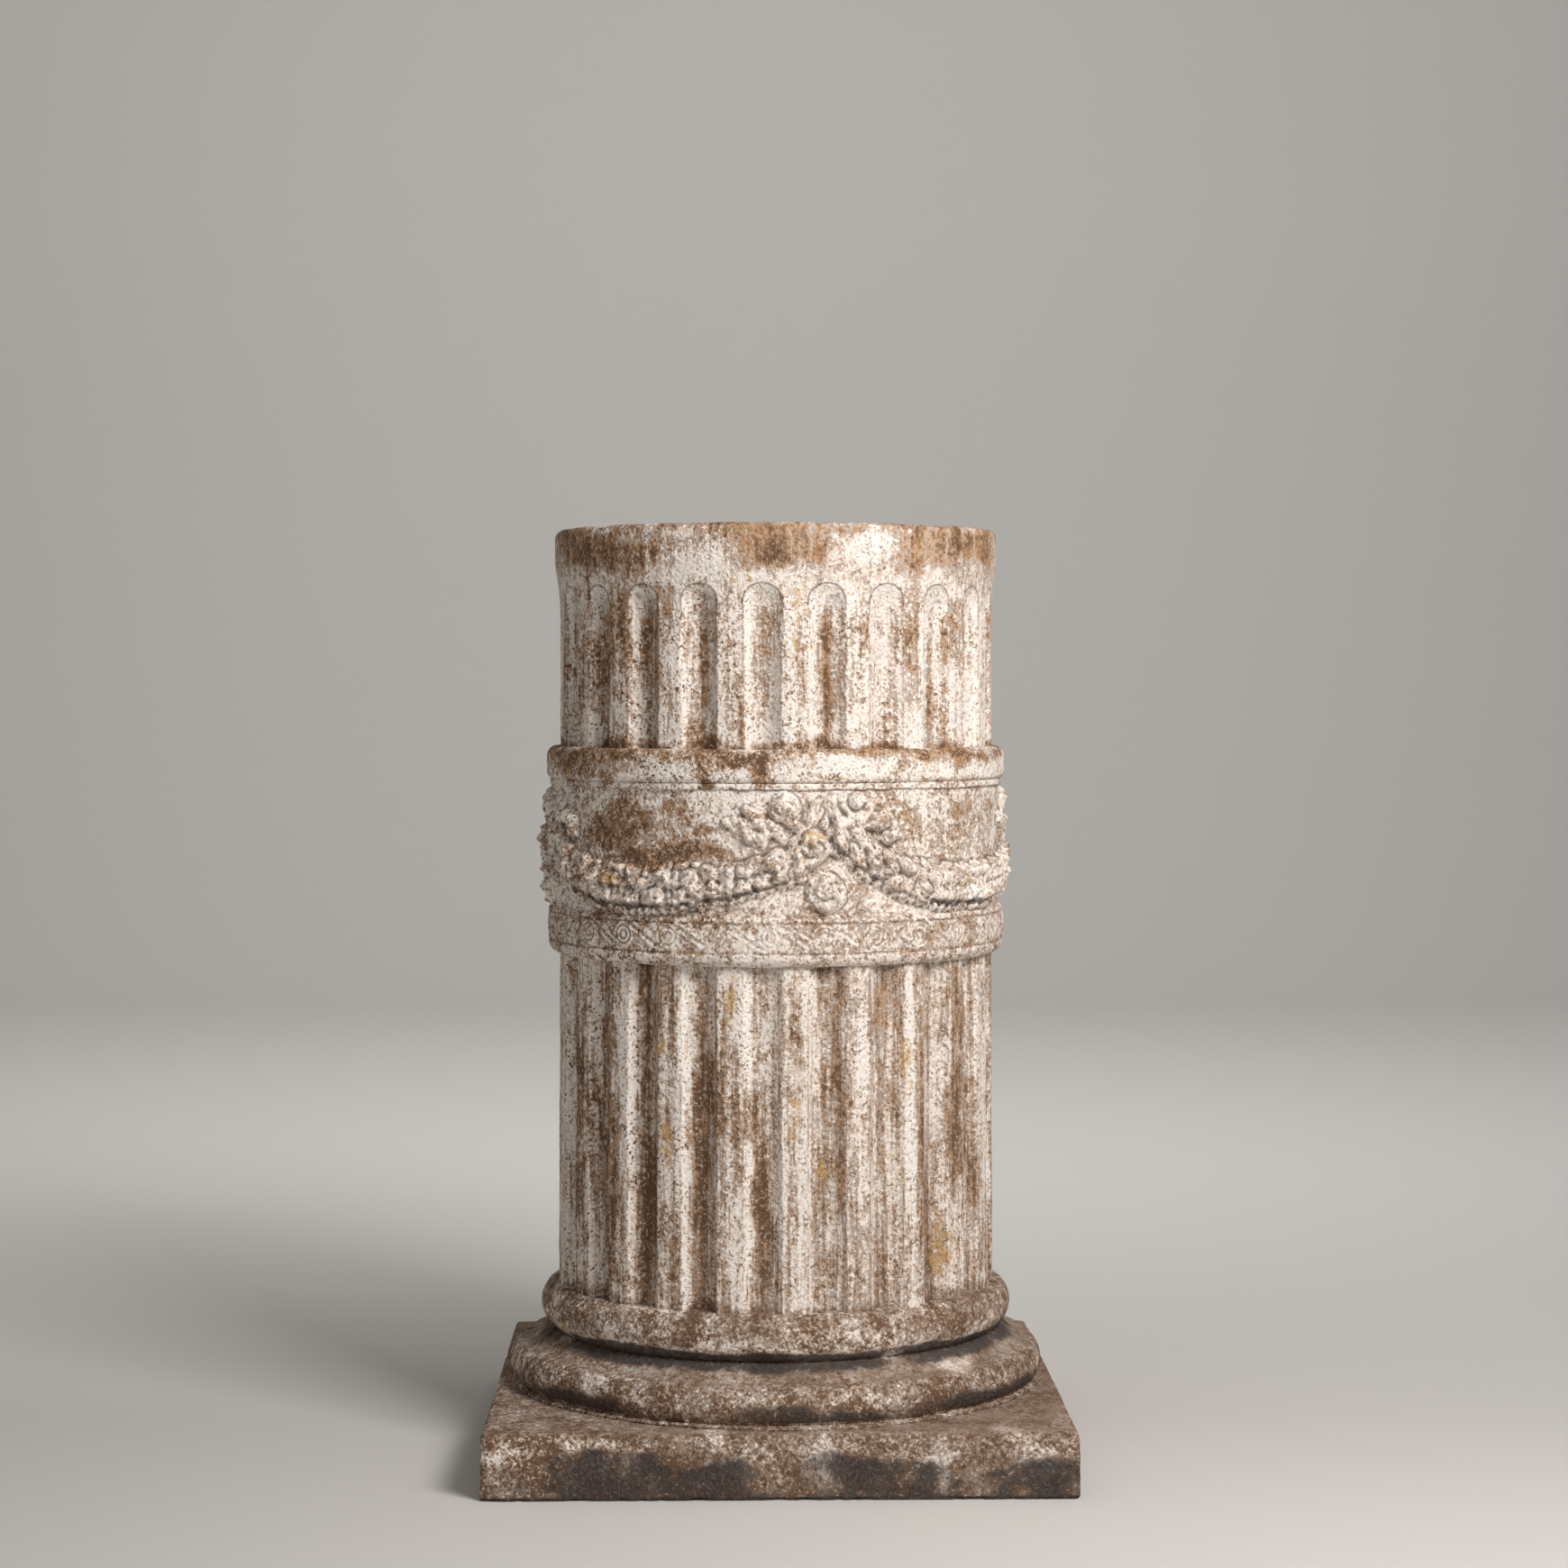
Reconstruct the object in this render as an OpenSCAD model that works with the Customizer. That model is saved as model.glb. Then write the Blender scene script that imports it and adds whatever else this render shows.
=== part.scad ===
/* [Plinth] */
// How far the square plinth reaches past the lower roll on each side
plinth_margin = 11; // [3:0.5:60]
// Height of the plinth
plinth_h = 56; // [40:1:90]
// Radius along the top edges of the plinth
plinth_edge_r = 7; // [3:0.5:12]
// Radius of the four upright corners of the plinth
plinth_corner_r = 5; // [3:0.5:12]

/* [Base mouldings] */
// How far the lower roll stands out from the foot of the shaft
lower_roll_out = 43; // [32:0.5:60]
// Height of the lower roll
lower_roll_h = 34; // [28:0.5:50]
// How far the lower roll swells beyond its own two edges
lower_roll_swell = 9; // [4:0.5:12]
// Height of the sloping ledge between the two rolls
ledge_h = 14; // [6:0.5:22]
// Width of the step that is left on the ledge round the upper roll
ledge_step = 5; // [2:0.5:8]
// How far the upper roll stands out from the foot of the shaft
upper_roll_out = 15; // [12:0.5:20]
// Height of the upper roll
upper_roll_h = 40; // [33:0.5:54]
// How far the upper roll swells beyond its own two edges
upper_roll_swell = 13; // [8:0.5:16]

/* [Shaft] */
// Radius of the shaft at its foot
shaft_foot_r = 196; // [160:0.5:240]
// How much the lower shaft draws in towards its top
shaft_taper = 1.3; // [0.2:0.1:4]
// Length of the lower fluted shaft
lower_shaft_h = 294; // [200:1:500]
// Length of the upper fluted drum, from the cap ring to the top
upper_shaft_h = 193; // [150:1:320]

/* [Flutes] */
// Number of flutes round the shaft
flute_count = 22; // [16:1:26]
// Width of one flute across its mouth
flute_w = 33; // [22:0.5:40]
// Depth of one flute
flute_depth = 9; // [5:0.5:12]
// Direction of the first flute's centre, counted from +X
flute_turn = -94.3; // [-180:0.1:180]
// Distance from the top of the column down to the heads of the upper flutes
flute_head_drop = 52; // [44:1:80]

/* [Rim] */
// How far the rim stands out from the upper drum
rim_out = 4.3; // [2:0.1:8]
// Height of the plain rim above its flare
rim_h = 33; // [20:1:40]
// Height of the flare under the rim
flare_h = 40; // [25:1:60]
// Radius along the top edge of the rim
rim_edge_r = 7; // [3:0.5:10]

/* [Rings and frieze] */
// How far the scroll ring under the frieze stands out from the shaft
scroll_ring_out = 10.3; // [8.5:0.1:16]
// Height of the scroll ring
scroll_ring_h = 43; // [30:1:60]
// Radius of the scroll ring's rounded edges
scroll_ring_edge_r = 8; // [3:0.5:12]
// How far the frieze that carries the garlands stands out from the shaft
frieze_out = 6.5; // [5:0.1:8]
// Height of the frieze
frieze_h = 107.5; // [86:0.5:150]
// How far the thin fillet over the frieze stands out from the shaft
fillet_out = 8.8; // [8.2:0.1:10]
// Height of the thin fillet over the frieze
fillet_h = 6; // [4:0.5:10]
// How far the plain cap ring stands out from the shaft
cap_ring_out = 11.6; // [10.2:0.1:18]
// Height of the cap ring
cap_ring_h = 28.5; // [20:0.5:40]
// Radius of the cap ring's rounded edges
cap_ring_edge_r = 8; // [3:0.5:9]

/* [Garlands] */
// Number of garlands hung round the frieze
swag_count = 4; // [3:1:5]
// Direction of the front knot, counted from +X
knot_turn = -80.7; // [-180:0.1:180]
// How far the garlands stand out from the frieze
swag_out = 10; // [5:0.5:13]
// Thickness of a garland at its lowest point
swag_middle_w = 38; // [28:1:44]
// Thickness of a garland at its knots
swag_end_w = 28; // [20:1:34]
// Height of a garland's lowest point above the foot of the frieze
swag_low_z = 23; // [20:1:30]
// How far a garland climbs to the knot at its left end
swag_left_rise = 52; // [20:1:56]
// How far a garland climbs to the knot at its right end
swag_right_rise = 28; // [15:1:40]
// Number of fruit bosses along one garland
swag_bosses = 15; // [9:2:17]
// Radius of the rose tied over each knot
knot_rose_r = 16; // [12:0.5:20]
// Height of that rose above the foot of the frieze
knot_rose_z = 56; // [50:1:60]
// Radius of the rose that hangs under each knot
pendant_rose_r = 18; // [14:0.5:20]
// Gap between the hanging rose and the foot of the frieze
pendant_gap = 2.5; // [1:0.5:5]
// Radius of the ribbon's bow loops
bow_loop_r = 12; // [8:0.5:14]
// How far the middles of the bow loops lie under the top of the frieze
bow_drop = 16; // [14:0.5:22]
// Thickness of the ribbon
ribbon_w = 11; // [7:0.5:13]

/* [Hidden] */
$fn = 96;
stone = "antiquewhite";

// Heights of the mouldings, each standing on the one before
ledge_z = plinth_h + lower_roll_h;
upper_roll_z = ledge_z + ledge_h;
shaft_z = upper_roll_z + upper_roll_h;
scroll_ring_z = shaft_z + lower_shaft_h;
frieze_z = scroll_ring_z + scroll_ring_h;
fillet_z = frieze_z + frieze_h;
cap_ring_z = fillet_z + fillet_h;
upper_shaft_z = cap_ring_z + cap_ring_h;
top_z = upper_shaft_z + upper_shaft_h;

// Radii and widths that follow from the driving sizes
upper_roll_r = shaft_foot_r + upper_roll_out;
lower_roll_r = shaft_foot_r + lower_roll_out;
plinth_w = 2 * (lower_roll_r + plinth_margin);
ledge_foot_r = lower_roll_r - lower_roll_swell;
ledge_top_r = upper_roll_r - upper_roll_swell + ledge_step;
shaft_top_r = shaft_foot_r - shaft_taper;
scroll_ring_r = shaft_top_r + scroll_ring_out;
frieze_r = shaft_top_r + frieze_out;
fillet_r = shaft_top_r + fillet_out;
cap_ring_r = shaft_top_r + cap_ring_out;
rim_r = shaft_top_r + rim_out;
flare_steps = 6;
flute_cut_r = arc_r(flute_w / 2, flute_depth);
flute_head_z = top_z - flute_head_drop;
swag_angle = 360 / swag_count;
// Share of the half garland that the rose over the knot covers
knot_share = 0.14;
// Steepness of a garland's climb to its left end
swag_left_power = 2.6;
// Share of a garland's relief that it loses towards its ends
swag_fade = 0.2;
// Turns from the knot to its two roses, the bow's two loops, its bud and its curled end
rose_turn = -2;
pendant_turn = 2;
loop_turns = [-7, 2];
bud_turn = 11;
curl_turn = 19;
// Radius of the bud and its height over the loops' middles, and the curl's drop under them
bud_r = 8.5;
bud_rise = 6;
curl_drop = 20.5;
// Turns from the knot at which the right and the left ribbon ends begin and stop
right_end_turns = [4, 16];
left_end_turns = [-8, -20];
// The left end's rise over the rose where it begins, and its drop under the loops' middles
left_end_rise = 6;
left_end_drop = 4;
// Number of bosses that make one ribbon end
ribbon_folds = 6;
// How far a cutter or a covered end runs past the surface it meets
overrun = 1;

// Radius of an arc from half its chord and its rise
function arc_r(half_chord, rise) = (pow(half_chord, 2) + pow(rise, 2)) / (2 * rise);

// Outline of a swelling roll: a band of the arc that bulges past the edges
module roll_profile(roll_r, height, swell) {
    r = arc_r(height / 2, swell);
    intersection() {
        union() {
            translate([roll_r - r, height / 2]) circle(r = r);
            square([roll_r - swell, height]);
        }
        square([roll_r + swell, height]);
    }
}

// Outline of a flat ring, from the axis out, with both outer edges rounded
module ring_profile(ring_r, height, edge_r) {
    square([ring_r - edge_r, height]);
    translate([0, edge_r]) square([ring_r, height - 2 * edge_r]);
    for (z = [edge_r, height - edge_r])
        translate([ring_r - edge_r, z]) circle(r = edge_r);
}

// Side view of the plinth, with its two top edges rounded
module plinth_side() {
    half = plinth_w / 2;
    translate([-half, 0]) square([plinth_w, plinth_h - plinth_edge_r]);
    translate([-half + plinth_edge_r, 0]) square([plinth_w - 2 * plinth_edge_r, plinth_h]);
    for (side = [-1, 1])
        translate([side * (half - plinth_edge_r), plinth_h - plinth_edge_r])
            circle(r = plinth_edge_r);
}

// Plan of the plinth, with its four corners rounded
module plinth_plan() {
    inner = plinth_w - 2 * plinth_corner_r;
    square([plinth_w, inner], center = true);
    square([inner, plinth_w], center = true);
    for (x = [-1, 1], y = [-1, 1])
        translate([x * inner / 2, y * inner / 2]) circle(r = plinth_corner_r);
}

module plinth() {
    color(stone) intersection() {
        linear_extrude(plinth_h) plinth_plan();
        rotate([90, 0, 0]) linear_extrude(2 * plinth_w, center = true) plinth_side();
        rotate([90, 0, 90]) linear_extrude(2 * plinth_w, center = true) plinth_side();
    }
}

// The two rolls with the sloping ledge between them
module base_mouldings() {
    color(stone) rotate_extrude() {
        translate([0, plinth_h]) roll_profile(lower_roll_r, lower_roll_h, lower_roll_swell);
        polygon([[0, ledge_z], [ledge_foot_r, ledge_z], [ledge_top_r, upper_roll_z],
                 [0, upper_roll_z]]);
        translate([0, upper_roll_z]) roll_profile(upper_roll_r, upper_roll_h, upper_roll_swell);
    }
}

// The cutters of all the flutes: round-ended rods stood round a shaft
module flute_cutters(surface_r, foot_z, head_z, round_head) {
    tip = round_head ? [for (a = [15:15:90]) [flute_cut_r * cos(a), flute_cut_r * sin(a)]] : [];
    rod_top = round_head ? head_z - flute_cut_r : head_z;
    outline = concat([[0, foot_z], [flute_cut_r, foot_z], [flute_cut_r, rod_top]],
                     [for (p = tip) [p[0], rod_top + p[1]]],
                     round_head ? [] : [[0, rod_top]]);
    for (i = [0:flute_count - 1])
        rotate([0, 0, flute_turn + i * 360 / flute_count])
            translate([surface_r - flute_depth + flute_cut_r, 0, 0])
                rotate_extrude() polygon(outline);
}

// The lower shaft, fluted from the upper roll to the scroll ring
module lower_shaft() {
    foot_z = shaft_z - upper_roll_swell;
    color(stone) difference() {
        translate([0, 0, foot_z])
            cylinder(h = scroll_ring_z - foot_z, r1 = shaft_foot_r, r2 = shaft_top_r);
        flute_cutters((shaft_foot_r + shaft_top_r) / 2, foot_z - overrun, scroll_ring_z + overrun,
                      false);
    }
}

// The frieze with the scroll ring under it and the cap ring over it
module frieze() {
    color(stone) rotate_extrude() {
        translate([0, scroll_ring_z])
            ring_profile(scroll_ring_r, scroll_ring_h, scroll_ring_edge_r);
        translate([0, frieze_z]) square([frieze_r, frieze_h]);
        translate([0, fillet_z]) square([fillet_r, fillet_h]);
        translate([0, cap_ring_z]) ring_profile(cap_ring_r, cap_ring_h, cap_ring_edge_r);
    }
}

// The upper drum: flutes with round heads under a flared plain rim
module upper_shaft() {
    rim_z = top_z - rim_h;
    flare = [for (i = [0:flare_steps])
        let (t = i / flare_steps)
        [shaft_top_r + rim_out * t * t, rim_z - flare_h * (1 - t)]];
    edge = [for (a = [0:15:90])
        [rim_r - rim_edge_r * (1 - cos(a)), top_z - rim_edge_r * (1 - sin(a))]];
    color(stone) difference() {
        rotate_extrude()
            polygon(concat([[0, upper_shaft_z], [shaft_top_r, upper_shaft_z]], flare, edge,
                           [[0, top_z]]));
        flute_cutters(shaft_top_r, upper_shaft_z - overrun, flute_head_z, true);
    }
}

// A round boss on the frieze, of a given half width and standing out by rise
module boss(turn, z, half_w, rise) {
    r = arc_r(half_w, rise);
    rotate([0, 0, turn]) translate([frieze_r + rise - r, 0, frieze_z + z]) sphere(r = r);
}

// Height of a garland's middle line at t, from -1 at its left end to 1 at its right end
function swag_z(t) = swag_low_z
    + (t < 0 ? swag_left_rise * pow(-t, swag_left_power) : swag_right_rise * t * t);

// One garland of fruit, which hangs in a curve from knot to knot
module swag(middle_turn) {
    last = (swag_bosses - 1) / 2;
    for (i = [-last:last]) {
        t = i / last * (1 - knot_share);
        half_w = (swag_middle_w - (swag_middle_w - swag_end_w) * t * t) / 2;
        boss(middle_turn + t * swag_angle / 2, swag_z(t), half_w,
             swag_out * (1 - swag_fade * t * t));
    }
}

// A ribbon loop that lies on the frieze
module ribbon_loop(turn, z) {
    rotate([0, 0, turn]) translate([frieze_r, 0, frieze_z + z]) rotate([0, 90, 0])
        rotate_extrude() translate([bow_loop_r - ribbon_w / 2, 0]) circle(r = ribbon_w / 2);
}

// A ribbon's end, laid in folds between two turns from its knot and between two heights
module ribbon_end(knot, turns, heights) {
    for (i = [0:ribbon_folds]) {
        t = i / ribbon_folds;
        boss(knot + turns[0] + (turns[1] - turns[0]) * t,
             heights[0] + (heights[1] - heights[0]) * t, ribbon_w / 2, ribbon_w / 3);
    }
}

// A knot: the rose over it, the rose that hangs under it, and the bow with its two ends
module knot(turn) {
    bow_z = frieze_h - bow_drop;
    right_end_z = bow_z - bow_loop_r;
    boss(turn + rose_turn, knot_rose_z, knot_rose_r, swag_out);
    boss(turn + pendant_turn, pendant_gap + pendant_rose_r, pendant_rose_r, swag_out);
    for (side = loop_turns)
        ribbon_loop(turn + side, bow_z);
    boss(turn + bud_turn, bow_z + bud_rise, bud_r, ribbon_w / 2);
    ribbon_loop(turn + curl_turn, bow_z - curl_drop);
    ribbon_end(turn, right_end_turns, [right_end_z, right_end_z]);
    ribbon_end(turn, left_end_turns, [knot_rose_z + left_end_rise, bow_z - left_end_drop]);
}

module garlands() {
    color(stone)
        for (i = [0:swag_count - 1]) {
            turn = knot_turn + i * swag_angle;
            swag(turn + swag_angle / 2);
            knot(turn);
        }
}

// The whole column, cast as one piece
module column() {
    union() {
        plinth();
        base_mouldings();
        lower_shaft();
        frieze();
        upper_shaft();
        garlands();
    }
}

column();
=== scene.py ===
"""The visual model of a short fluted column of fired clay under a worn limewash.

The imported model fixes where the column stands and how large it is. Each operator makes one
stretch of its surface as a closed grid of points, and the last one makes the stage. All sizes
are in metres, and heights count up from the underside of the plinth.
"""
import math

import bpy
import numpy as np
from bpy.props import FloatProperty, FloatVectorProperty, IntProperty, PointerProperty
from bpy.types import Operator, Panel, PropertyGroup
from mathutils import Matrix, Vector


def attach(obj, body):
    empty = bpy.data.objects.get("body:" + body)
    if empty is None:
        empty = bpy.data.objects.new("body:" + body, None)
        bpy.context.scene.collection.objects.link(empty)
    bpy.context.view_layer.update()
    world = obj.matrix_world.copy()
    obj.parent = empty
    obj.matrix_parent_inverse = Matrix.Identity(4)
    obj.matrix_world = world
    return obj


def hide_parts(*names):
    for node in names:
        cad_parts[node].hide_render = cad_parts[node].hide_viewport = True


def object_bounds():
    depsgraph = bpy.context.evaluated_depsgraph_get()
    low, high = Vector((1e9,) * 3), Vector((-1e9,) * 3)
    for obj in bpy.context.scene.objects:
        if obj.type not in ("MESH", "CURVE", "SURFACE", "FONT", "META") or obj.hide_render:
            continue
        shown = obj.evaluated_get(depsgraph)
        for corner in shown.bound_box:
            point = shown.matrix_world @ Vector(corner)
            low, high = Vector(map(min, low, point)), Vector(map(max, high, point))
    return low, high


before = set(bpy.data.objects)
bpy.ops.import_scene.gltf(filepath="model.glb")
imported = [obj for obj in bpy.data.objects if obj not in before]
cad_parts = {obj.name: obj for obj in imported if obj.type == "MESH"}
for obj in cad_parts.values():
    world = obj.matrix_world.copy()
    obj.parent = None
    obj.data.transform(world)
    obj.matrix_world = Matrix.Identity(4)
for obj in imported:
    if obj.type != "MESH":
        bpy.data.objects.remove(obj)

bl_info = {
    "name": "Limewashed fluted column",
    "version": (1, 0, 0),
    "blender": (4, 5, 0),
    "location": "3D View > Sidebar > Column",
    "description": "Makes a garlanded, fluted clay column on a square plinth, with its stage",
    "category": "Add Mesh",
}

CAD_NODE = "column"
MM = 0.001
TURN = 2 * math.pi
CAD_LOW, CAD_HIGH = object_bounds()
PLINTH_WIDTH = CAD_HIGH.x - CAD_LOW.x
COLUMN_HEIGHT = CAD_HIGH.z - CAD_LOW.z

# How far the flat tops of the plinth and of the rim are worn down
TOP_WEAR = 0.0008

# How far apart the rows of each stretch's grid lie, and how many columns it has, which is
# counted over one flute where the stretch is fluted
SPACING = {"plinth": 0.0021, "base": 0.00205, "lower_shaft": 0.00235, "scroll_ring": 0.00118,
           "frieze": 0.00124, "cap_ring": 0.00135, "upper_shaft": 0.0022}
COLUMNS = {"plinth": 880, "base": 760, "lower_shaft": 32, "scroll_ring": 1080, "frieze": 1040,
           "cap_ring": 800, "upper_shaft": 32}


# ---------------------------------------------------------------- sizes and colours

def metres(name, description, default):
    """A length property."""
    return FloatProperty(name=name, description=description, default=default, unit="LENGTH")


def degrees(name, description, default):
    """An angle property; its default is given in degrees."""
    return FloatProperty(name=name, description=description, default=math.radians(default),
                         subtype="ANGLE")


def watts(name, description, default):
    """A property for the power of a lamp."""
    return FloatProperty(name=name, description=description, default=default, unit="POWER")


def colour(name, description, red, green, blue):
    """A colour property; its default is given as screen values from 0 to 255."""
    screen = np.array([red, green, blue]) / 255
    linear = np.where(screen <= 0.04045, screen / 12.92, ((screen + 0.055) / 1.055) ** 2.4)
    return FloatVectorProperty(name=name, description=description, subtype="COLOR",
                               size=3, min=0, max=1, default=tuple(float(v) for v in linear))


class ColumnSizes(PropertyGroup):
    """Sizes of the column's plain mouldings and flutes."""

    plinth_height: metres("Plinth height", "Height of the square plinth", 0.056)
    lower_roll_radius: metres("Lower roll radius", "Radius of the lower roll at its widest", 0.239)
    lower_roll_height: metres("Lower roll height", "Height of the lower roll", 0.034)
    ledge_height: metres("Ledge height", "Height of the sloping ledge between the rolls", 0.014)
    upper_roll_height: metres("Upper roll height", "Height of the upper roll", 0.040)
    upper_roll_radius: metres("Upper roll radius", "Radius of the upper roll at its widest", 0.211)
    foot_radius: metres("Foot radius", "Radius of the shaft at its foot", 0.196)
    drum_radius: metres("Drum radius", "Radius of the shaft at its top and of the upper drum",
                        0.1947)
    lower_shaft_height: metres("Lower shaft height", "Length of the lower fluted shaft", 0.294)
    scroll_ring_radius: metres("Scroll ring radius", "Radius of the ring under the frieze", 0.205)
    scroll_ring_height: metres("Scroll ring height", "Height of the ring under the frieze", 0.043)
    frieze_radius: metres("Frieze radius", "Radius of the frieze behind its garlands", 0.2012)
    frieze_height: metres("Frieze height", "Height of the frieze", 0.1075)
    fillet_radius: metres("Fillet radius", "Radius of the thin fillet over the frieze", 0.2035)
    fillet_height: metres("Fillet height", "Height of the thin fillet over the frieze", 0.006)
    cap_ring_radius: metres("Cap ring radius", "Radius of the plain ring over the frieze", 0.2063)
    cap_ring_height: metres("Cap ring height", "Height of the plain ring over the frieze", 0.0285)
    rim_radius: metres("Rim radius", "Radius of the plain rim at the top", 0.199)
    rim_height: metres("Rim height", "Height of the plain rim over its flare", 0.033)
    flare_height: metres("Flare height", "Height over which the drum flares to the rim", 0.040)
    flute_count: IntProperty(
        name="Flutes", description="Number of flutes round the shaft", default=22, min=8)
    flute_width: metres("Flute width", "Width of a flute across its mouth", 0.033)
    flute_depth: metres("Flute depth", "Depth of a flute at its middle", 0.009)
    flute_turn: degrees("Flute turn", "Direction of the first flute's middle", -94.3)
    head_drop: metres("Head drop", "Distance from the top down to the upper flutes' heads", 0.052)
    head_height: metres("Head height", "Height of the arched head of an upper flute", 0.015)


class GarlandSizes(PropertyGroup):
    """Sizes of the garlands, roses and scrolls round the frieze."""

    count: IntProperty(
        name="Garlands", description="Number of garlands round the frieze", default=4, min=2)
    knot_turn: degrees("Knot turn", "Direction of the front knot", -81)
    middle_width: metres("Middle width", "Thickness of a garland at its lowest point", 0.038)
    end_width: metres("End width", "Thickness of a garland at its knots", 0.026)
    low_height: metres("Low height", "Height of a garland's lowest middle over the frieze foot",
                       0.023)
    left_rise: metres("Left rise", "How far a garland climbs to its left end", 0.070)
    right_rise: metres("Right rise", "How far a garland climbs to its right end", 0.028)
    relief: metres("Relief", "How far the body of a garland stands out", 0.0042)
    fruit_relief: metres("Fruit relief", "How far fruit and leaves stand out of a garland", 0.0088)
    scroll_count: IntProperty(
        name="Scroll eyes", description="Number of eyes in the running scroll", default=28)
    scroll_turn: degrees("Scroll turn", "Direction of one of the scroll's eyes", -92.2)
    scroll_relief: metres("Scroll relief", "How far the running scroll stands out", 0.0019)


class FinishColours(PropertyGroup):
    """Colours of the clay, of the limewash on it and of the dirt and soot in it; the dirt and soot
    colours also paint shade in crevices, creases and undersides.
    """

    wash: colour("Limewash", "Thick limewash", 246, 237, 229)
    wash_warm: colour("Warm limewash", "Limewash stained by the clay", 222, 202, 186)
    thin_wash: colour("Thin limewash", "Limewash rubbed thin", 198, 173, 152)
    grey_wash: colour("Grey limewash", "Limewash greyed by the weather", 190, 178, 171)
    clay: colour("Clay", "Bare fired clay", 190, 149, 111)
    clay_grey: colour("Grey clay", "Bare clay under grey dust", 158, 136, 118)
    clay_dark: colour("Dark clay", "Stained and damp clay", 108, 82, 62)
    ochre: colour("Ochre", "Yellow stains at the edges of the wash", 196, 154, 84)
    soot: colour("Soot", "Black crust in sheltered places", 62, 57, 56)
    dirt: colour("Dirt", "Dirt in crevices and pits", 70, 54, 42)


class StageSettings(PropertyGroup):
    """The floor, the lamps and the camera."""

    floor: colour("Floor", "Colour of the plain floor and backdrop", 226, 223, 219)
    key_power: watts("Key light", "Power of the large lamp at the right", 40.0)
    fill_power: watts("Fill light", "Power of the large lamp at the left", 4.0)
    backdrop_power: watts("Backdrop light", "Power of the lamp that faces the backdrop", 66.0)
    far_glow: FloatProperty(
        name="Far floor glow", description="Light given off by the floor that the lamps miss",
        default=0.47)
    sky: FloatProperty(
        name="Sky light", description="Strength of the light from all round", default=0.20)
    focal_length: FloatProperty(
        name="Focal length", description="The lens's focal length in millimetres",
        default=76.55)
    camera_distance: metres("Camera distance", "Distance from the column's axis to the camera",
                            3.019)
    eye_height: metres("Eye height", "Height of the camera over the floor", 0.680)
    azimuth: degrees("Azimuth", "How far round the column the camera stands", -1.0)


# ---------------------------------------------------------------- numbers on grids
# Seeds tell the noises apart: each stretch takes its own hundred of them.

def lattice(cell, seed):
    """A random value from 0 to 1 for each whole-numbered cell: its numbers are multiplied by
    large odd numbers, joined, and mixed by shifts."""
    cell = cell.astype(np.int64).astype(np.uint64)
    mixed = np.full(cell.shape[:-1], (seed * 2654435761) % 2**63, np.uint64)
    for axis, factor in zip(range(cell.shape[-1]), (73856093, 19349663, 83492791)):
        mixed = (mixed ^ (cell[..., axis] * np.uint64(factor))) & np.uint64(0xFFFFFFFF)
        mixed = ((mixed ^ (mixed >> np.uint64(15))) * np.uint64(2246822519))
        mixed &= np.uint64(0xFFFFFFFF)
    mixed = ((mixed ^ (mixed >> np.uint64(13))) * np.uint64(3266489917)) & np.uint64(0xFFFFFFFF)
    return ((mixed ^ (mixed >> np.uint64(16))) & np.uint64(0xFFFFFF)).astype(float) / 0x1000000


def noise(points, size, seed):
    """Smooth noise from -1 to 1: random values at the corners of cubes of the given size,
    blended with the weight t*t*(3-2t) along each axis."""
    scaled = points / size
    cell = np.floor(scaled)
    t = scaled - cell
    t = t * t * (3 - 2 * t)
    total = 0
    for corner in np.ndindex(2, 2, 2):
        corner = np.array(corner)
        weight = np.prod(np.where(corner, t, 1 - t), axis=-1)
        total = total + weight * lattice(cell + corner, seed)
    return 2 * total - 1


def layered_noise(points, size, layers, seed):
    """Noise in layers, each half as large and half as strong as the one before."""
    total = 0
    for layer in range(layers):
        total = total + noise(points, size / 2**layer, seed + layer) / 2**layer
    return total / (2 - 2.0 ** (1 - layers))


def step(value, low, high):
    """0 below low, 1 above high and t*t*(3-2t) between them. Where low is the greater of the
    two, it falls from 1 to 0 instead."""
    t = np.clip((value - low) / (high - low), 0, 1)
    return t * t * (3 - 2 * t)


def domes(u, v, pitch, seed):
    """Round and oval domes, one near the middle of each square cell of the plane: a dome is
    the square root of 1 - d*d, with d the distance from its middle in its own half widths.
    The highest dome over a point counts."""
    place = np.stack([u, v], -1) / pitch
    cell = np.floor(place)
    best = np.zeros(u.shape)
    for shift in np.ndindex(3, 3):
        other = cell + np.array(shift) - 1
        middle = other + 0.5 + 0.26 * np.stack(
            [2 * lattice(other, seed) - 1, 2 * lattice(other, seed + 1) - 1], -1)
        away = place - middle
        turn = math.pi * lattice(other, seed + 2)
        size = 0.42 + 0.14 * lattice(other, seed + 3)
        stretch = 1 + 0.35 * lattice(other, seed + 4)
        along = (away[..., 0] * np.cos(turn) + away[..., 1] * np.sin(turn)) / (size * stretch)
        across = (away[..., 1] * np.cos(turn) - away[..., 0] * np.sin(turn)) / size * stretch
        height = np.sqrt(np.clip(1 - along**2 - across**2, 0, 1))
        best = np.maximum(best, height * (0.65 + 0.35 * lattice(other, seed + 5)))
    return best


def between(value, start, full, fading, gone):
    """0 outside start and gone, 1 from full to fading and smooth in the stretches between."""
    return step(value, start, full) * (1 - step(value, fading, gone))


def ridge(value, middle, half):
    """A smooth ridge of height 1 at middle: exp(-d*d), with d the distance in half widths."""
    return np.exp(-((value - middle) / half) ** 2)


def wrapped(angle):
    """The angle brought between minus half a turn and half a turn."""
    return (angle + math.pi) % TURN - math.pi


# ---------------------------------------------------------------- outlines

def arc(middle, radius, start, end, count):
    """Points of a circular arc round middle, from one direction to the other in degrees."""
    a = np.radians(np.linspace(start, end, count))
    return np.stack([middle[0] + radius * np.cos(a), middle[1] + radius * np.sin(a)], -1)


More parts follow.
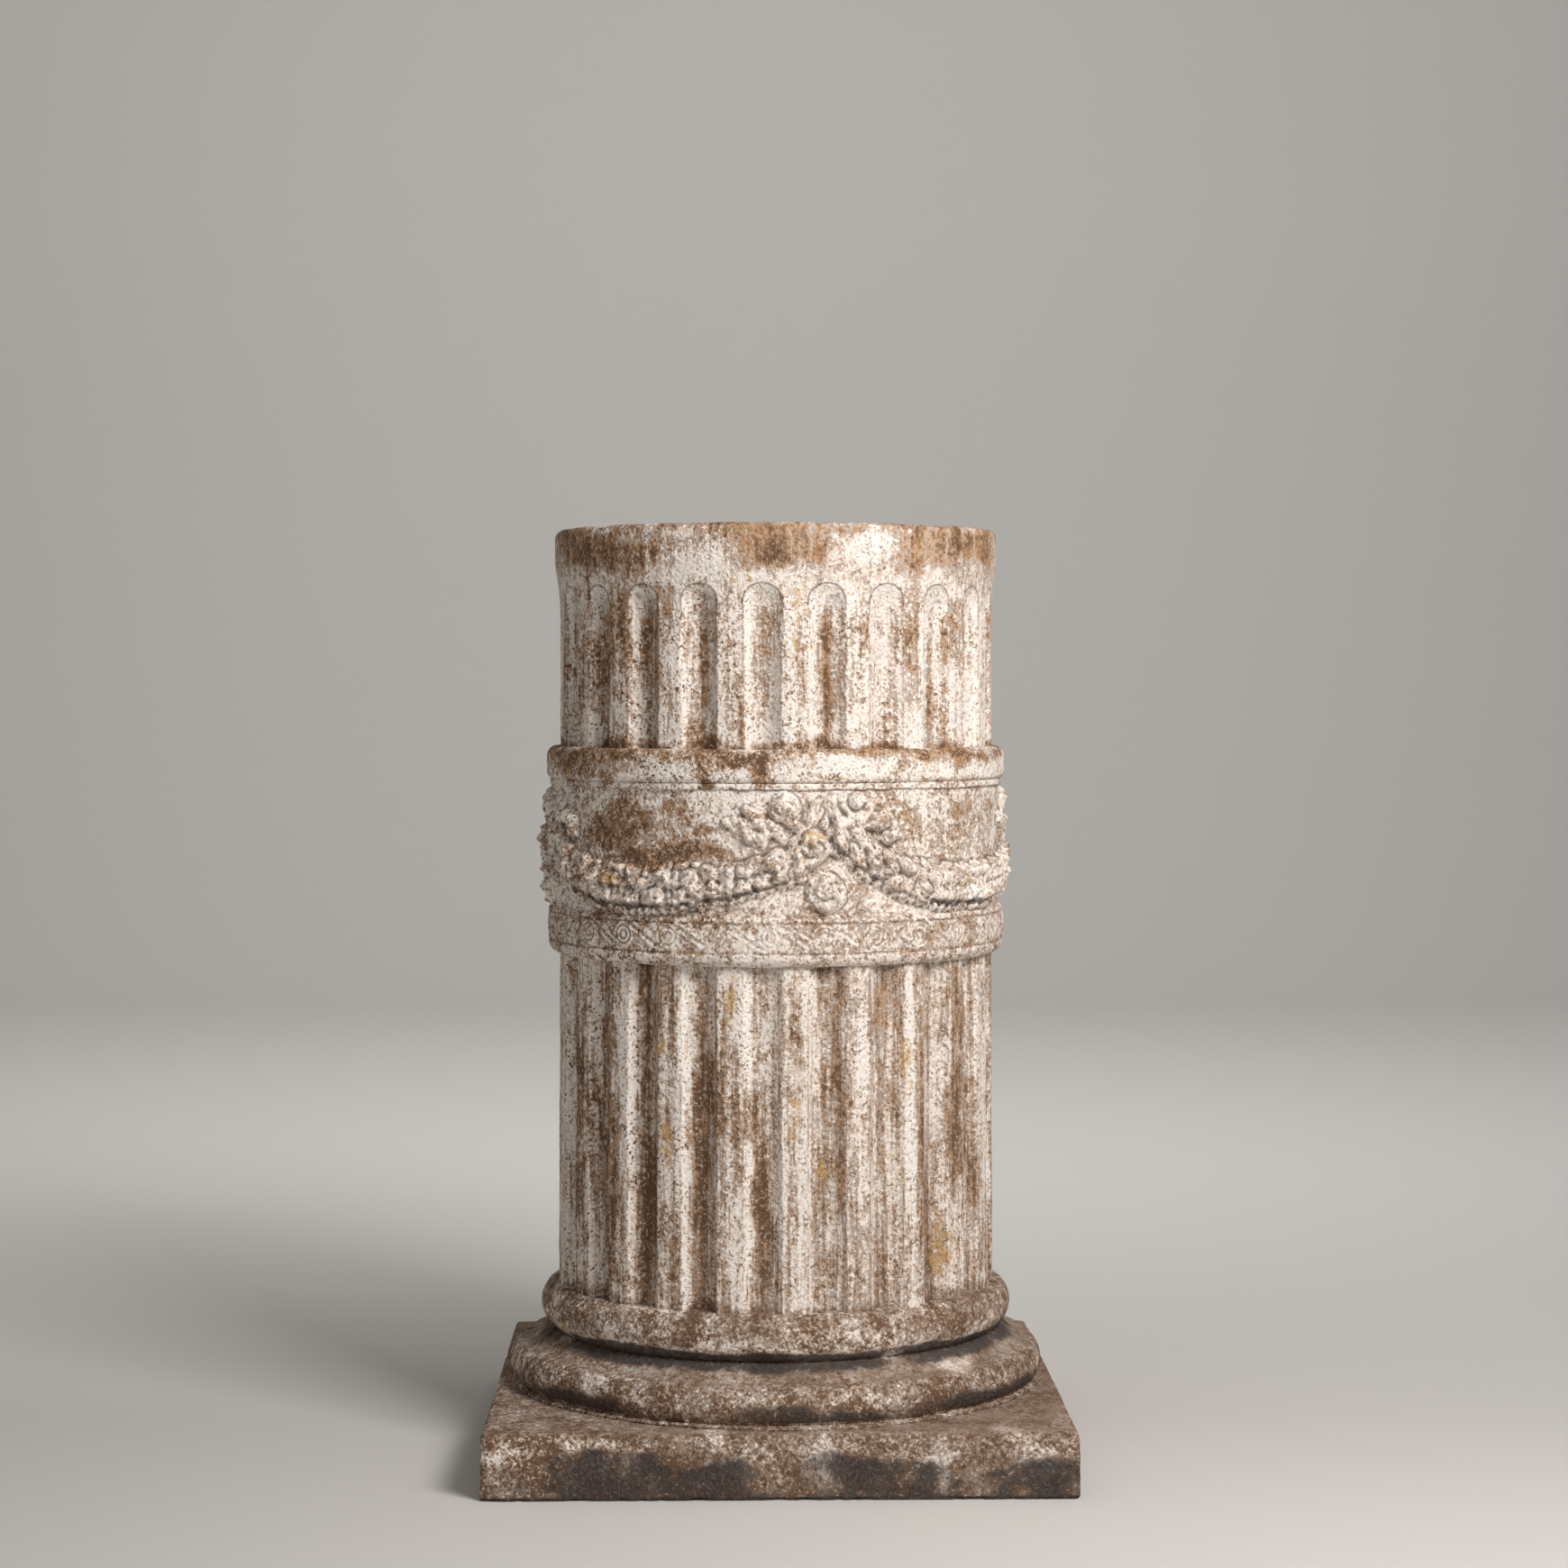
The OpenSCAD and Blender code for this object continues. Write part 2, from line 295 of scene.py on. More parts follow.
def roll(widest, foot, height, swell, count=40):
    """A roll's outline: the arc whose chord is the roll's height and whose rise is its swell."""
    radius = ((height / 2) ** 2 + swell**2) / (2 * swell)
    half = math.degrees(math.asin(height / 2 / radius))
    return arc((widest - radius, foot + height / 2), radius, -half, half, count)


def resampled(parts, spacing):
    """The parts' points as one outline, re-spaced evenly along its length."""
    points = np.concatenate([np.asarray(part, float).reshape(-1, 2) for part in parts])
    length = np.concatenate([[0], np.cumsum(np.hypot(*np.diff(points, axis=0).T))])
    even = np.linspace(0, length[-1], max(2, int(length[-1] / spacing) + 1))
    return np.stack([np.interp(even, length, points[:, i]) for i in range(2)], -1)


def turned(outline, angles):
    """The outline carried round the axis: x = r cos a, y = r sin a, z = z."""
    r, z = outline[:, 0, None], outline[:, 1, None]
    return np.stack([r * np.cos(angles), r * np.sin(angles),
                     z + np.zeros_like(angles)[None, :]], -1)


def outward(angles):
    """The level direction away from the axis at each angle."""
    return np.stack([np.cos(angles), np.sin(angles), 0 * angles], -1)


def even_angles(count):
    """Angles once round the axis at even steps."""
    return np.arange(count) * TURN / count


def flute_angles(sizes, per_flute):
    """Angles once round the axis, closer together at the edges of the flutes."""
    pitch = TURN / sizes.flute_count
    edge = math.asin(sizes.flute_width / 2 / sizes.foot_radius) / pitch
    near = 0.055
    # The land, the flute's edge, its floor, its other edge and the next land, each with its share
    # of the columns
    knots = [-0.5, -edge - near, -edge + near, edge - near, edge + near, 0.5]
    shares = np.cumsum([0, 0.14, 0.18, 0.36, 0.18, 0.14])
    offsets = np.interp((np.arange(per_flute) + 0.5) / per_flute, shares, knots) * pitch
    middles = sizes.flute_turn + np.arange(sizes.flute_count) * pitch
    return (middles[:, None] + offsets[None, :]).ravel()


# ---------------------------------------------------------------- surfaces

def normals(grid):
    """Outward directions of a grid: the cross product of the step round and the step up."""
    around = np.roll(grid, -1, 1) - np.roll(grid, 1, 1)
    up = np.gradient(grid, axis=0)
    cross = np.cross(around, up)
    return cross / np.maximum(np.linalg.norm(cross, axis=-1, keepdims=True), 1e-12)


def softened(grid, passes):
    """The grid averaged with its neighbours round and up, the given number of times."""
    for _ in range(passes):
        grid = (np.roll(grid, 1, 1) + np.roll(grid, -1, 1) + 2 * grid) / 4
        padded = np.concatenate([grid[:1], grid, grid[-1:]])
        grid = (padded[:-2] + padded[2:] + 2 * grid) / 4
    return grid


def hollowness(grid, passes):
    """How far the softened surface lies outside the grid: above 0 in hollows and below 0 on
    edges, in metres."""
    return np.sum((softened(grid, passes) - grid) * normals(grid), -1)


def weathered(grid, seed, bite=0.0015, pit=0.0004, fine=0.0003):
    """The grid worn back along its normals by a slow waviness, a sandy roughness, scattered
    pits, and bites out of its edges where layered noise is high."""
    edge = step(-hollowness(grid, 6), 0.0002, 0.0010)
    wave = 0.0005 * layered_noise(grid, 0.07, 2, seed)
    rough = fine * layered_noise(grid, 0.0050, 2, seed + 10)
    pits = -pit * step(noise(grid, 0.0055, seed + 20), 0.50, 0.85)
    bites = -bite * edge * step(layered_noise(grid, 0.022, 3, seed + 30), 0.05, 0.55)
    nicks = -0.5 * bite * edge * step(noise(grid, 0.007, seed + 40), 0.1, 0.7)
    return grid + (wave + rough + pits + bites + nicks)[..., None] * normals(grid)


def closed_mesh(name, grid, values):
    """A mesh from rows of points that each go once round, lowest row first: quads between the
    rows and a fan at each end, with the given values on its points as attributes."""
    rows, columns = grid.shape[:2]
    low, high = np.array(CAD_LOW), np.array(CAD_HIGH)
    points = np.clip(grid, low, high).reshape(-1, 3)
    ends = np.array([[0, 0, points[0, 2]], [0, 0, points[-1, 2]]])
    index = np.arange(rows * columns).reshape(rows, columns)
    beside = np.roll(index, -1, 1)
    quads = np.stack([index[:-1], beside[:-1], beside[1:], index[1:]], -1).reshape(-1, 4)
    foot, head = rows * columns, rows * columns + 1
    under = np.stack([beside[0], index[0], np.full(columns, foot)], -1)
    over = np.stack([index[-1], beside[-1], np.full(columns, head)], -1)
    mesh = bpy.data.meshes.new(name)
    mesh.from_pydata(np.concatenate([points, ends]), [],
                     quads.tolist() + under.tolist() + over.tolist())
    for key, value in values.items():
        flat = np.concatenate([value.reshape(-1), [value[0].mean(), value[-1].mean()]])
        mesh.attributes.new(key, "FLOAT", "POINT").data.foreach_set(
            "value", flat.astype(np.float32))
    mesh.shade_smooth()
    return mesh


def make_piece(name, grid, values, material, hollow_darkness=1.0):
    """Puts one finished stretch of the column into the scene, in place of the CAD node. Its
    hollows hold more dirt and painted shade the higher its last argument is."""
    values = dict(values, hollow=hollow_darkness * hollowness(grid, 3) / MM,
                  wide=hollowness(grid, 24) / MM)
    mesh = closed_mesh(name, grid, values)
    piece = bpy.data.objects.new(name, mesh)
    bpy.context.scene.collection.objects.link(piece)
    mesh.materials.append(material)
    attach(piece, "root")
    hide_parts(CAD_NODE)
    return piece


# ---------------------------------------------------------------- where the wash has stayed

# Share of wash by height: (height, bias), from bare at -1 to whole at 1. The low values at the
# base make it darker, partly dirt and partly painted shade for light that falls off downward.
WASH_BY_HEIGHT = [
    (0.000, -0.42), (0.030, -0.36), (0.045, -0.26), (0.056, -0.32), (0.070, -0.42),
    (0.088, -0.28), (0.104, -0.20), (0.114, 0.14), (0.124, -0.20), (0.144, -0.30),
    (0.150, 0.08), (0.300, 0.08), (0.420, 0.18), (0.445, 0.18), (0.480, 0.08),
    (0.490, 0.26), (0.530, 0.08), (0.580, 0.24), (0.587, 0.36), (0.600, 0.36),
    (0.610, 0.18), (0.616, -0.34), (0.623, -0.40), (0.628, 0.34), (0.700, 0.22),
    (0.760, 0.24), (0.785, 0.02), (0.808, -0.02), (0.813, -0.20), (0.816, 0.02),
]

# Patches that are barer or whiter than the rest: (turn in degrees, height, half turn, half
# height, bias)
WASH_PATCHES = [
    # the plinth
    (-120, 0.047, 10, 0.006, 0.42), (-101, 0.047, 5, 0.006, 0.38), (-82, 0.030, 5, 0.020, 0.48),
    (-62, 0.022, 3, 0.020, 0.45), (-50, 0.034, 3, 0.020, 0.45), (-133, 0.028, 2, 0.024, 0.50),
    # the base mouldings
    (-84, 0.112, 9, 0.008, 0.40), (-62, 0.111, 7, 0.006, 0.35), (-45, 0.098, 10, 0.008, 0.45),
    (-72, 0.074, 8, 0.006, 0.30), (-112, 0.140, 12, 0.006, -0.25), (-60, 0.138, 12, 0.006, -0.25),
    # the rim
    (-140, 0.797, 26, 0.020, -0.52), (-126, 0.808, 12, 0.006, 0.30),
    (-109, 0.788, 6, 0.013, 0.45), (-90, 0.797, 13, 0.014, -0.44),
    (-98, 0.808, 14, 0.006, -0.22),
    (-68, 0.795, 7, 0.020, 0.60), (-46, 0.800, 12, 0.018, -0.22),
    (-26, 0.797, 12, 0.020, -0.40),
    (-95, 0.772, 8, 0.008, 0.40), (-113, 0.770, 9, 0.010, 0.30),
    # the upper drum
    (-136, 0.720, 4, 0.045, -0.45), (-145, 0.700, 5, 0.060, -0.35),
    (-158, 0.700, 9, 0.070, -0.30),
    (-126, 0.705, 4.5, 0.050, -0.42), (-53.5, 0.700, 3.2, 0.065, -0.50),
    (-119, 0.745, 3, 0.020, -0.30), (-94, 0.705, 2.0, 0.050, -0.40),
    (-77.5, 0.700, 1.7, 0.055, -0.50), (-109, 0.700, 1.6, 0.050, -0.40),
    (-38, 0.720, 3, 0.040, -0.30), (-45, 0.725, 3.5, 0.040, 0.40),
    (-84, 0.700, 1.5, 0.040, -0.35), (-62, 0.730, 4, 0.050, 0.30),
    (-62, 0.670, 4, 0.040, 0.20), (-30, 0.660, 12, 0.030, 0.25),
    (-102, 0.700, 2.5, 0.050, 0.15), (-94, 0.635, 5, 0.012, 0.35),
    # the cap ring
    (-145, 0.608, 17, 0.013, -0.60), (-108, 0.606, 2.2, 0.012, -0.75),
    (-95, 0.606, 2.4, 0.012, -0.80), (-72, 0.602, 10, 0.010, 0.50),
    (-119, 0.603, 6, 0.009, 0.35), (-101, 0.603, 3, 0.009, 0.40),
    (-38, 0.612, 16, 0.007, -0.35),
    # the frieze and the ring under it
    (-134, 0.561, 12, 0.021, -0.82), (-117, 0.567, 4, 0.012, -0.45),
    (-109, 0.552, 2.5, 0.013, -0.60), (-56, 0.569, 4, 0.009, -0.45),
    (-38, 0.571, 6, 0.008, -0.40), (-118, 0.530, 20, 0.008, -0.70),
    (-103, 0.545, 5, 0.006, 0.40), (-100, 0.576, 10, 0.008, 0.20),
    (-139, 0.478, 9, 0.006, -0.40), (-50, 0.468, 6, 0.010, -0.25),
    # the lower shaft
    (-154, 0.290, 3, 0.160, -0.45), (-137.5, 0.300, 3.5, 0.160, -0.38),
    (-132.5, 0.300, 1.4, 0.160, 0.45), (-127, 0.290, 3.2, 0.160, -0.32),
    (-115.2, 0.310, 1.5, 0.150, 0.50), (-111, 0.220, 3.2, 0.110, -0.75),
    (-110, 0.385, 2.4, 0.050, -0.30), (-102.5, 0.385, 1.8, 0.040, -0.50),
    (-98, 0.380, 1.9, 0.060, 0.70), (-98.6, 0.220, 1.0, 0.100, 0.50),
    (-95, 0.260, 2.3, 0.070, -0.50), (-92.5, 0.190, 1.8, 0.060, -0.35),
    (-75, 0.330, 1.5, 0.120, -0.35), (-69, 0.330, 3, 0.060, 0.25),
    (-64, 0.390, 2.2, 0.045, -0.45), (-52, 0.320, 1.9, 0.130, -0.60),
    (-55.5, 0.340, 1.2, 0.060, 0.40), (-47.5, 0.210, 2.3, 0.075, -0.55),
    (-43, 0.320, 2.4, 0.060, 0.35), (-37, 0.290, 2.8, 0.060, -0.55),
    (-35, 0.400, 2.8, 0.030, -0.35), (-30, 0.330, 3.5, 0.070, 0.30),
]

# Places with yellow stains: (turn in degrees, height, half turn, half height, strength)
OCHRE_PATCHES = [
    (-85, 0.735, 3, 0.040, 0.8), (-70, 0.740, 3, 0.030, 0.5), (-99, 0.770, 4, 0.012, 0.9),
    (-47, 0.770, 4, 0.008, 0.8), (-155, 0.613, 14, 0.007, 0.7), (-118, 0.614, 9, 0.006, 0.7),
    (-84, 0.611, 4, 0.009, 0.9), (-50, 0.612, 7, 0.009, 0.7), (-83, 0.547, 4.5, 0.008, 1.2),
    (-88.5, 0.578, 3, 0.008, 0.7), (-79, 0.500, 3.5, 0.008, 0.7),
    (-134, 0.508, 5, 0.009, 1.0), (-122, 0.518, 5, 0.008, 0.8), (-41, 0.508, 6, 0.010, 0.8),
    (-52, 0.512, 3, 0.010, 0.8), (-50, 0.468, 4, 0.008, 0.7), (-78, 0.462, 3, 0.008, 0.6),
    (-122, 0.365, 2.5, 0.014, 1.3), (-119, 0.288, 2, 0.020, 1.2), (-102, 0.405, 2, 0.022, 1.2),
    (-86, 0.300, 2.5, 0.060, 0.8), (-78.5, 0.268, 1.3, 0.012, 1.4), (-60, 0.250, 3, 0.045, 0.7),
    (-56, 0.350, 2, 0.035, 1.2), (-42, 0.190, 4, 0.040, 1.1), (-155, 0.118, 6, 0.012, 0.8),
]


# Share of warm brown in the bare clay by height: (height, share)
WARMTH_BY_HEIGHT = [(0.000, -0.20), (0.140, 0.00), (0.160, 0.40), (0.440, 0.55), (0.600, 0.75),
                    (0.615, 1.00), (0.630, 0.70), (0.780, 1.00)]


# The side that the weather has worn most, how far round it reaches, and how much stronger the
# speckles are there
WEATHER_TURN = math.radians(-145)
WEATHER_REACH = 0.6
WEATHER_SPECKLE = 0.6

# How far the edges of the patches wander, round the column in radians and in height
TURN_WANDER = 0.025
HEIGHT_WANDER = 0.012


def patches(table, angles, height):
    """The sum of the table's patches, each fading out as exp(-d^4), with d the distance from
    its middle in its own half sizes."""
    total = np.zeros(height.shape)
    for turn, middle, half_turn, half_height, strength in table:
        away = wrapped(angles - math.radians(turn)) / math.radians(half_turn)
        square = away**2 + ((height - middle) / half_height) ** 2
        total = total + strength * np.exp(-np.minimum(square, 5) ** 2)
    return total


def finish_values(grid, angles, bias=0.0, soot=-1.0, calm=0.0, flute=0.0, head=0.0):
    """The values that the finish reads at each point: where the wash has stayed (wash), where
    yellow stains (ochre), warm clay (warm), soot together with painted shade, and even wear (calm)
    lie, the distance from a flute's middle in its half widths (flute), and where the flutes'
    arched heads are (head)."""
    turn = angles + TURN_WANDER * noise(grid, 0.03, 801)
    height = grid[..., 2] + HEIGHT_WANDER * noise(grid, 0.03, 802)
    wash = np.interp(height, *np.array(WASH_BY_HEIGHT).T) + bias
    weather = ridge(wrapped(angles - WEATHER_TURN), 0.0, WEATHER_REACH)
    values = {"wash": wash + patches(WASH_PATCHES, turn, height),
              "ochre": patches(OCHRE_PATCHES, turn, height),
              "warm": np.interp(height, *np.array(WARMTH_BY_HEIGHT).T),
              "soot": soot, "calm": calm - WEATHER_SPECKLE * weather, "flute": flute,
              "head": head}
    return {key: value + np.zeros(grid.shape[:2]) for key, value in values.items()}


# ---------------------------------------------------------------- finishes

class Paint:
    """Adds nodes to one material, each wired to the ones before it."""

    def __init__(self, name):
        self.material = bpy.data.materials.new(name)
        self.material.use_nodes = True
        self.tree = self.material.node_tree
        self.shader = next(n for n in self.tree.nodes if n.type == "BSDF_PRINCIPLED")
        self.upright = self.tree.nodes.new("ShaderNodeTexCoord").outputs["Object"]
        self.place = self.mapped(rotation=(0.6, 0.4, 0.9))

    def wire(self, value, socket):
        """Links an output to a socket, or sets the socket to a plain value."""
        if isinstance(value, bpy.types.NodeSocket):
            self.tree.links.new(value, socket)
        else:
            socket.default_value = value

    def sum(self, *terms):
        """The sum of (factor, value) terms."""
        total = 0.0
        for factor, value in terms:
            total = self.maths("MULTIPLY_ADD", value, factor, total)
        return total

    def maths(self, operation, a, b=0.0, c=0.0):
        """One arithmetic step."""
        node = self.tree.nodes.new("ShaderNodeMath")
        node.operation = operation
        for value, socket in zip((a, b, c), node.inputs):
            self.wire(value, socket)
        return node.outputs[0]

    def step(self, value, low, high):
        """0 below low, 1 above high and smooth between them, or the other way round where low
        is the greater."""
        node = self.tree.nodes.new("ShaderNodeMapRange")
        node.interpolation_type = "SMOOTHSTEP"
        self.wire(value, node.inputs["Value"])
        self.wire(low, node.inputs["From Min"])
        self.wire(high, node.inputs["From Max"])
        return node.outputs["Result"]

    def blend(self, share, under, over):
        """The share of the second colour laid over the first."""
        node = self.tree.nodes.new("ShaderNodeMix")
        node.data_type = "RGBA"
        self.wire(share, node.inputs["Factor"])
        self.wire(under, node.inputs[6])
        self.wire(over, node.inputs[7])
        return node.outputs[2]

    def mapped(self, rotation=(0, 0, 0), scale=(1, 1, 1)):
        """The place on the piece, turned and scaled."""
        node = self.tree.nodes.new("ShaderNodeMapping")
        self.wire(self.upright, node.inputs["Vector"])
        node.inputs["Rotation"].default_value = rotation
        node.inputs["Scale"].default_value = scale
        return node.outputs["Vector"]

    def noise(self, size, detail=2.0, roughness=0.55, place=None, seed=0.0):
        """Cloudy noise of the given size, centred on 0 and mostly from -0.5 to 0.5."""
        node = self.tree.nodes.new("ShaderNodeTexNoise")
        node.noise_dimensions = "4D"
        self.wire(place or self.place, node.inputs["Vector"])
        node.inputs["W"].default_value = seed
        node.inputs["Scale"].default_value = 1 / size
        node.inputs["Detail"].default_value = detail
        node.inputs["Roughness"].default_value = roughness
        node.inputs["Lacunarity"].default_value = 2.3
        return self.maths("MULTIPLY_ADD", node.outputs[0], 2.0, -1.0)

    def value(self, name):
        """A value kept on the mesh's points."""
        node = self.tree.nodes.new("ShaderNodeAttribute")
        node.attribute_name = name
        return node.outputs["Fac"]


class Limewash(Paint):
    """Fired clay under a worn limewash. The cover, which is the sum of the mesh's own wash
    value and noise of several sizes, picks the colour between dark clay and thick wash. Each
    later layer takes the colour so far and gives it back changed."""

    def __init__(self, name, streaks):
        super().__init__(name)
        colours = bpy.context.scene.column_colours
        self.rgba = {key: (*getattr(colours, key), 1.0) for key in
                     ("wash", "wash_warm", "thin_wash", "grey_wash", "clay", "clay_grey",
                      "clay_dark", "ochre", "soot", "dirt")}
        self.clouds = self.noise(0.060, 2, 0.5, seed=1)
        self.flakes = self.noise(0.020, 5, 0.66, seed=2)
        self.chips = self.noise(0.0062, 3, 0.72, seed=3)
        self.grain = self.noise(0.0027, 1, 0.6, seed=4)
        self.pits = self.step(self.noise(0.0034, 2, 0.5, seed=8), 0.26, 0.44)
        self.hollow = self.value("hollow")
        self.quiet = self.sum((-0.75, self.value("calm")), (1.0, 1.0))
        self.cover = self.worn_cover(streaks)
        colour_so_far = self.clay_and_wash()
        for layer in (self.sooted, self.speckled, self.stained, self.dirtied_and_shaded):
            colour_so_far = layer(colour_so_far)
        self.wire(colour_so_far, self.shader.inputs["Base Color"])
        self.roughen()

    def worn_cover(self, streaks):
        """How much wash has stayed: it is gone under -0.3 and thick over 0.3. Streaks adds
        wear drawn out up and down."""
        uneven = self.sum((0.55, self.clouds), (0.95, self.flakes), (1.05, self.chips),
                          (0.95, self.grain))
        if streaks:
            upright = self.mapped(rotation=(0, 0, 0.6), scale=(1, 1, 0.06))
            broad = self.noise(0.010, 3, 0.6, upright, seed=21)
            narrow = self.noise(0.0042, 2, 0.6, upright, seed=22)
            uneven = self.sum((1.0 - 0.38 * streaks, uneven), (1.05 * streaks, broad),
                              (0.85 * streaks, narrow))
        return self.sum((1.0, self.value("wash")), (0.10, self.hollow),
                        (1.0, self.maths("MULTIPLY", uneven, self.quiet)))

    def clay_and_wash(self):
        """Dark, grey or warm clay under thin or grey wash, then warm wash, then thick."""
        cover, rgba = self.cover, self.rgba
        tone = self.noise(0.035, 3, 0.6, seed=9)
        bare = self.blend(self.sum((1.0, self.value("warm")), (0.5, tone)), rgba["clay_grey"],
                          rgba["clay"])
        dry = self.step(self.sum((1.0, cover), (0.9, tone), (0.5, self.chips)), -0.95, 0.0)
        earth = self.blend(dry, rgba["clay_dark"], bare)
        greyed = self.step(self.sum((1.0, tone), (0.6, self.flakes)), -0.25, 0.25)
        thin = self.blend(greyed, rgba["thin_wash"], rgba["grey_wash"])
        base = self.blend(self.step(cover, -0.34, 0.02), earth, thin)
        base = self.blend(self.step(cover, -0.08, 0.20), base, rgba["wash_warm"])
        thick = self.step(self.sum((1.0, cover), (0.5, self.grain)), 0.14, 0.50)
        return self.blend(thick, base, rgba["wash"])

    def sooted(self, base):
        """A black crust where the mesh's soot value and the noise are high; it is soot in some
        places and painted shade in creases and undersides.
        """
        crust_and_shade = self.sum((1.0, self.value("soot")), (1.0, self.noise(0.030, 4, 0.62, seed=7)),
                         (0.55, self.chips), (0.30, self.grain))
        self.crust_and_shade = self.step(crust_and_shade, -0.16, 0.34)
        return self.blend(self.maths("MULTIPLY", self.crust_and_shade, 0.90), base, self.rgba["soot"])

    def speckled(self, base):
        """White specks, fewer on the black crust of soot and painted shade, and dark specks; both
        fade where wear is even.
        """
        speck = self.noise(0.0030, 2, 0.6, seed=6)
        white = self.maths("MULTIPLY", self.step(speck, 0.14, 0.28), self.quiet)
        white = self.maths("MULTIPLY", white, self.sum((-0.50, self.crust_and_shade), (1.0, 0.60)))
        base = self.blend(white, base, self.rgba["wash_warm"])
        peppery = self.sum((1.0, self.noise(0.0025, 1, 0.5, seed=10)), (0.5, self.flakes))
        dark = self.maths("MULTIPLY", self.step(peppery, -0.17, -0.36), self.quiet)
        return self.blend(self.maths("MULTIPLY", dark, 0.75), base, self.rgba["clay_dark"])

    def stained(self, base):
        """Yellow stains where the mesh's ochre value and the noise are high."""
        stain = self.sum((0.66, self.value("ochre")), (1.2, self.noise(0.009, 3, 0.7, seed=5)),
                         (0.7, self.chips))
        share = self.maths("MULTIPLY", self.step(stain, 0.48, 0.84), 0.70)
        return self.blend(share, base, self.rgba["ochre"])

    def dirtied_and_shaded(self, base):
        """Dirt in pits, and dirt with painted shade in crevices, wide hollows and along the
        flutes' edges; where they meet, the strongest counts."""
        crevice = self.step(self.sum((1.0, self.hollow), (0.5, self.chips),
                                     (0.6, self.flakes)), 0.20, 0.70)
        deep = self.step(self.sum((0.5, self.value("wide")), (0.6, self.flakes)), 0.35, 1.6)
        grime_and_shade = self.maths("MULTIPLY", self.pits, 0.50)
        # Crevices, wide hollows and flute edges are darkened as painted shade as well as dirt.
        for share, amount in ((crevice, 0.72), (deep, 0.35), (self.flute_edge(), 0.55)):
            grime_and_shade = self.maths("MAXIMUM", grime_and_shade, self.maths("MULTIPLY", share, amount))
        return self.blend(grime_and_shade, base, self.rgba["dirt"])

    def flute_edge(self):
        """A thin broken line of dirt and painted shadow along the edges of the flutes, less broken
        at their heads.
        """
        flute = self.value("flute")
        line = self.maths("MULTIPLY", self.step(flute, 0.93, 0.99),
                          self.step(flute, 1.10, 1.03))
        whole = self.sum((1.0, self.flakes), (0.5, self.chips), (0.42, self.value("head")))
        return self.maths("MULTIPLY", line, self.step(whole, -0.10, 0.30))

    def roughen(self):
        """Sets a dull gloss, a little smoother on the wash, and a sandy relief in which the
        wash stands over the clay."""
        dull = self.sum((-0.10, self.step(self.cover, 0.0, 0.2)), (0.10, self.grain),
                        (1.0, 0.92))
        self.wire(dull, self.shader.inputs["Roughness"])
        self.shader.inputs["Specular IOR Level"].default_value = 0.22
        relief = self.sum((0.40, self.step(self.cover, -0.05, 0.10)), (0.55, self.chips),
                          (0.75, self.grain), (-0.5, self.pits), (0.35, self.flakes))
        bump = self.tree.nodes.new("ShaderNodeBump")
        bump.inputs["Strength"].default_value = 0.9
        bump.inputs["Distance"].default_value = 0.0012
        self.wire(relief, bump.inputs["Height"])
        self.wire(bump.outputs["Normal"], self.shader.inputs["Normal"])


def limewash(name, streaks=0.0):
    """The material of one stretch; the more streaks, the more its wear is drawn out upright."""
    return Limewash(name, streaks).material


# ---------------------------------------------------------------- the pieces

def heights(sizes):
    """The height of the foot of each moulding, from the plinth up."""
    names = ("plinth", "lower_roll", "ledge", "upper_roll", "lower_shaft", "scroll_ring",
             "frieze", "fillet", "cap_ring")
    z, total = {}, 0.0
    for name in names:
        z[name] = total
        total += getattr(sizes, name + "_height")
    z["drum"] = total
    z["top"] = COLUMN_HEIGHT
    return z


# How far apart the noise is read for two flutes, for the two edges of one, and for its walls
FLUTE_NOISE_STEP, EDGE_NOISE_STEP, WALL_NOISE_STEP = 14.6, 3.65, 5.3


def flute_cut(angles, height, sizes, head_top, seed):
    """Depth of the flutes, and the distances from their middle lines in their half widths,
    without and with a sign. A flute is a circular arc across, and its edges waver with the
    noise of wear. Where head_top is given, it ends under that height in an arch and grows
    shallower towards it."""
    pitch = TURN / sizes.flute_count
    nearest = np.round((angles - sizes.flute_turn) / pitch)
    away = wrapped(angles - sizes.flute_turn - nearest * pitch) * sizes.foot_radius
    half = sizes.flute_width / 2
    shape = (len(height), len(angles))
    line = np.stack([np.broadcast_to(nearest * FLUTE_NOISE_STEP
                                     + np.sign(away) * EDGE_NOISE_STEP, shape),
                     np.zeros(shape), np.broadcast_to(height[:, None], shape)], -1)
    signed = away / (half * (1 + 0.035 * layered_noise(line, 0.035, 3, seed)))
    s = np.abs(signed)
    depth = sizes.flute_depth * (1 + 0.08 * noise(line, 0.12, seed + 5))
    if head_top is not None:
        arch = head_top - sizes.head_height
        s = np.hypot(s, np.clip(height[:, None] - arch, 0, None) / sizes.head_height)
        depth = depth * (0.58 + 0.42 * step(head_top - height[:, None], 0.0, 0.030))
    radius = (half**2 + depth**2) / (2 * depth)
    cut = np.sqrt(np.clip(radius**2 - (s * half) ** 2, 0, None)) - (radius - depth)
    return np.clip(cut, 0, None), s, signed


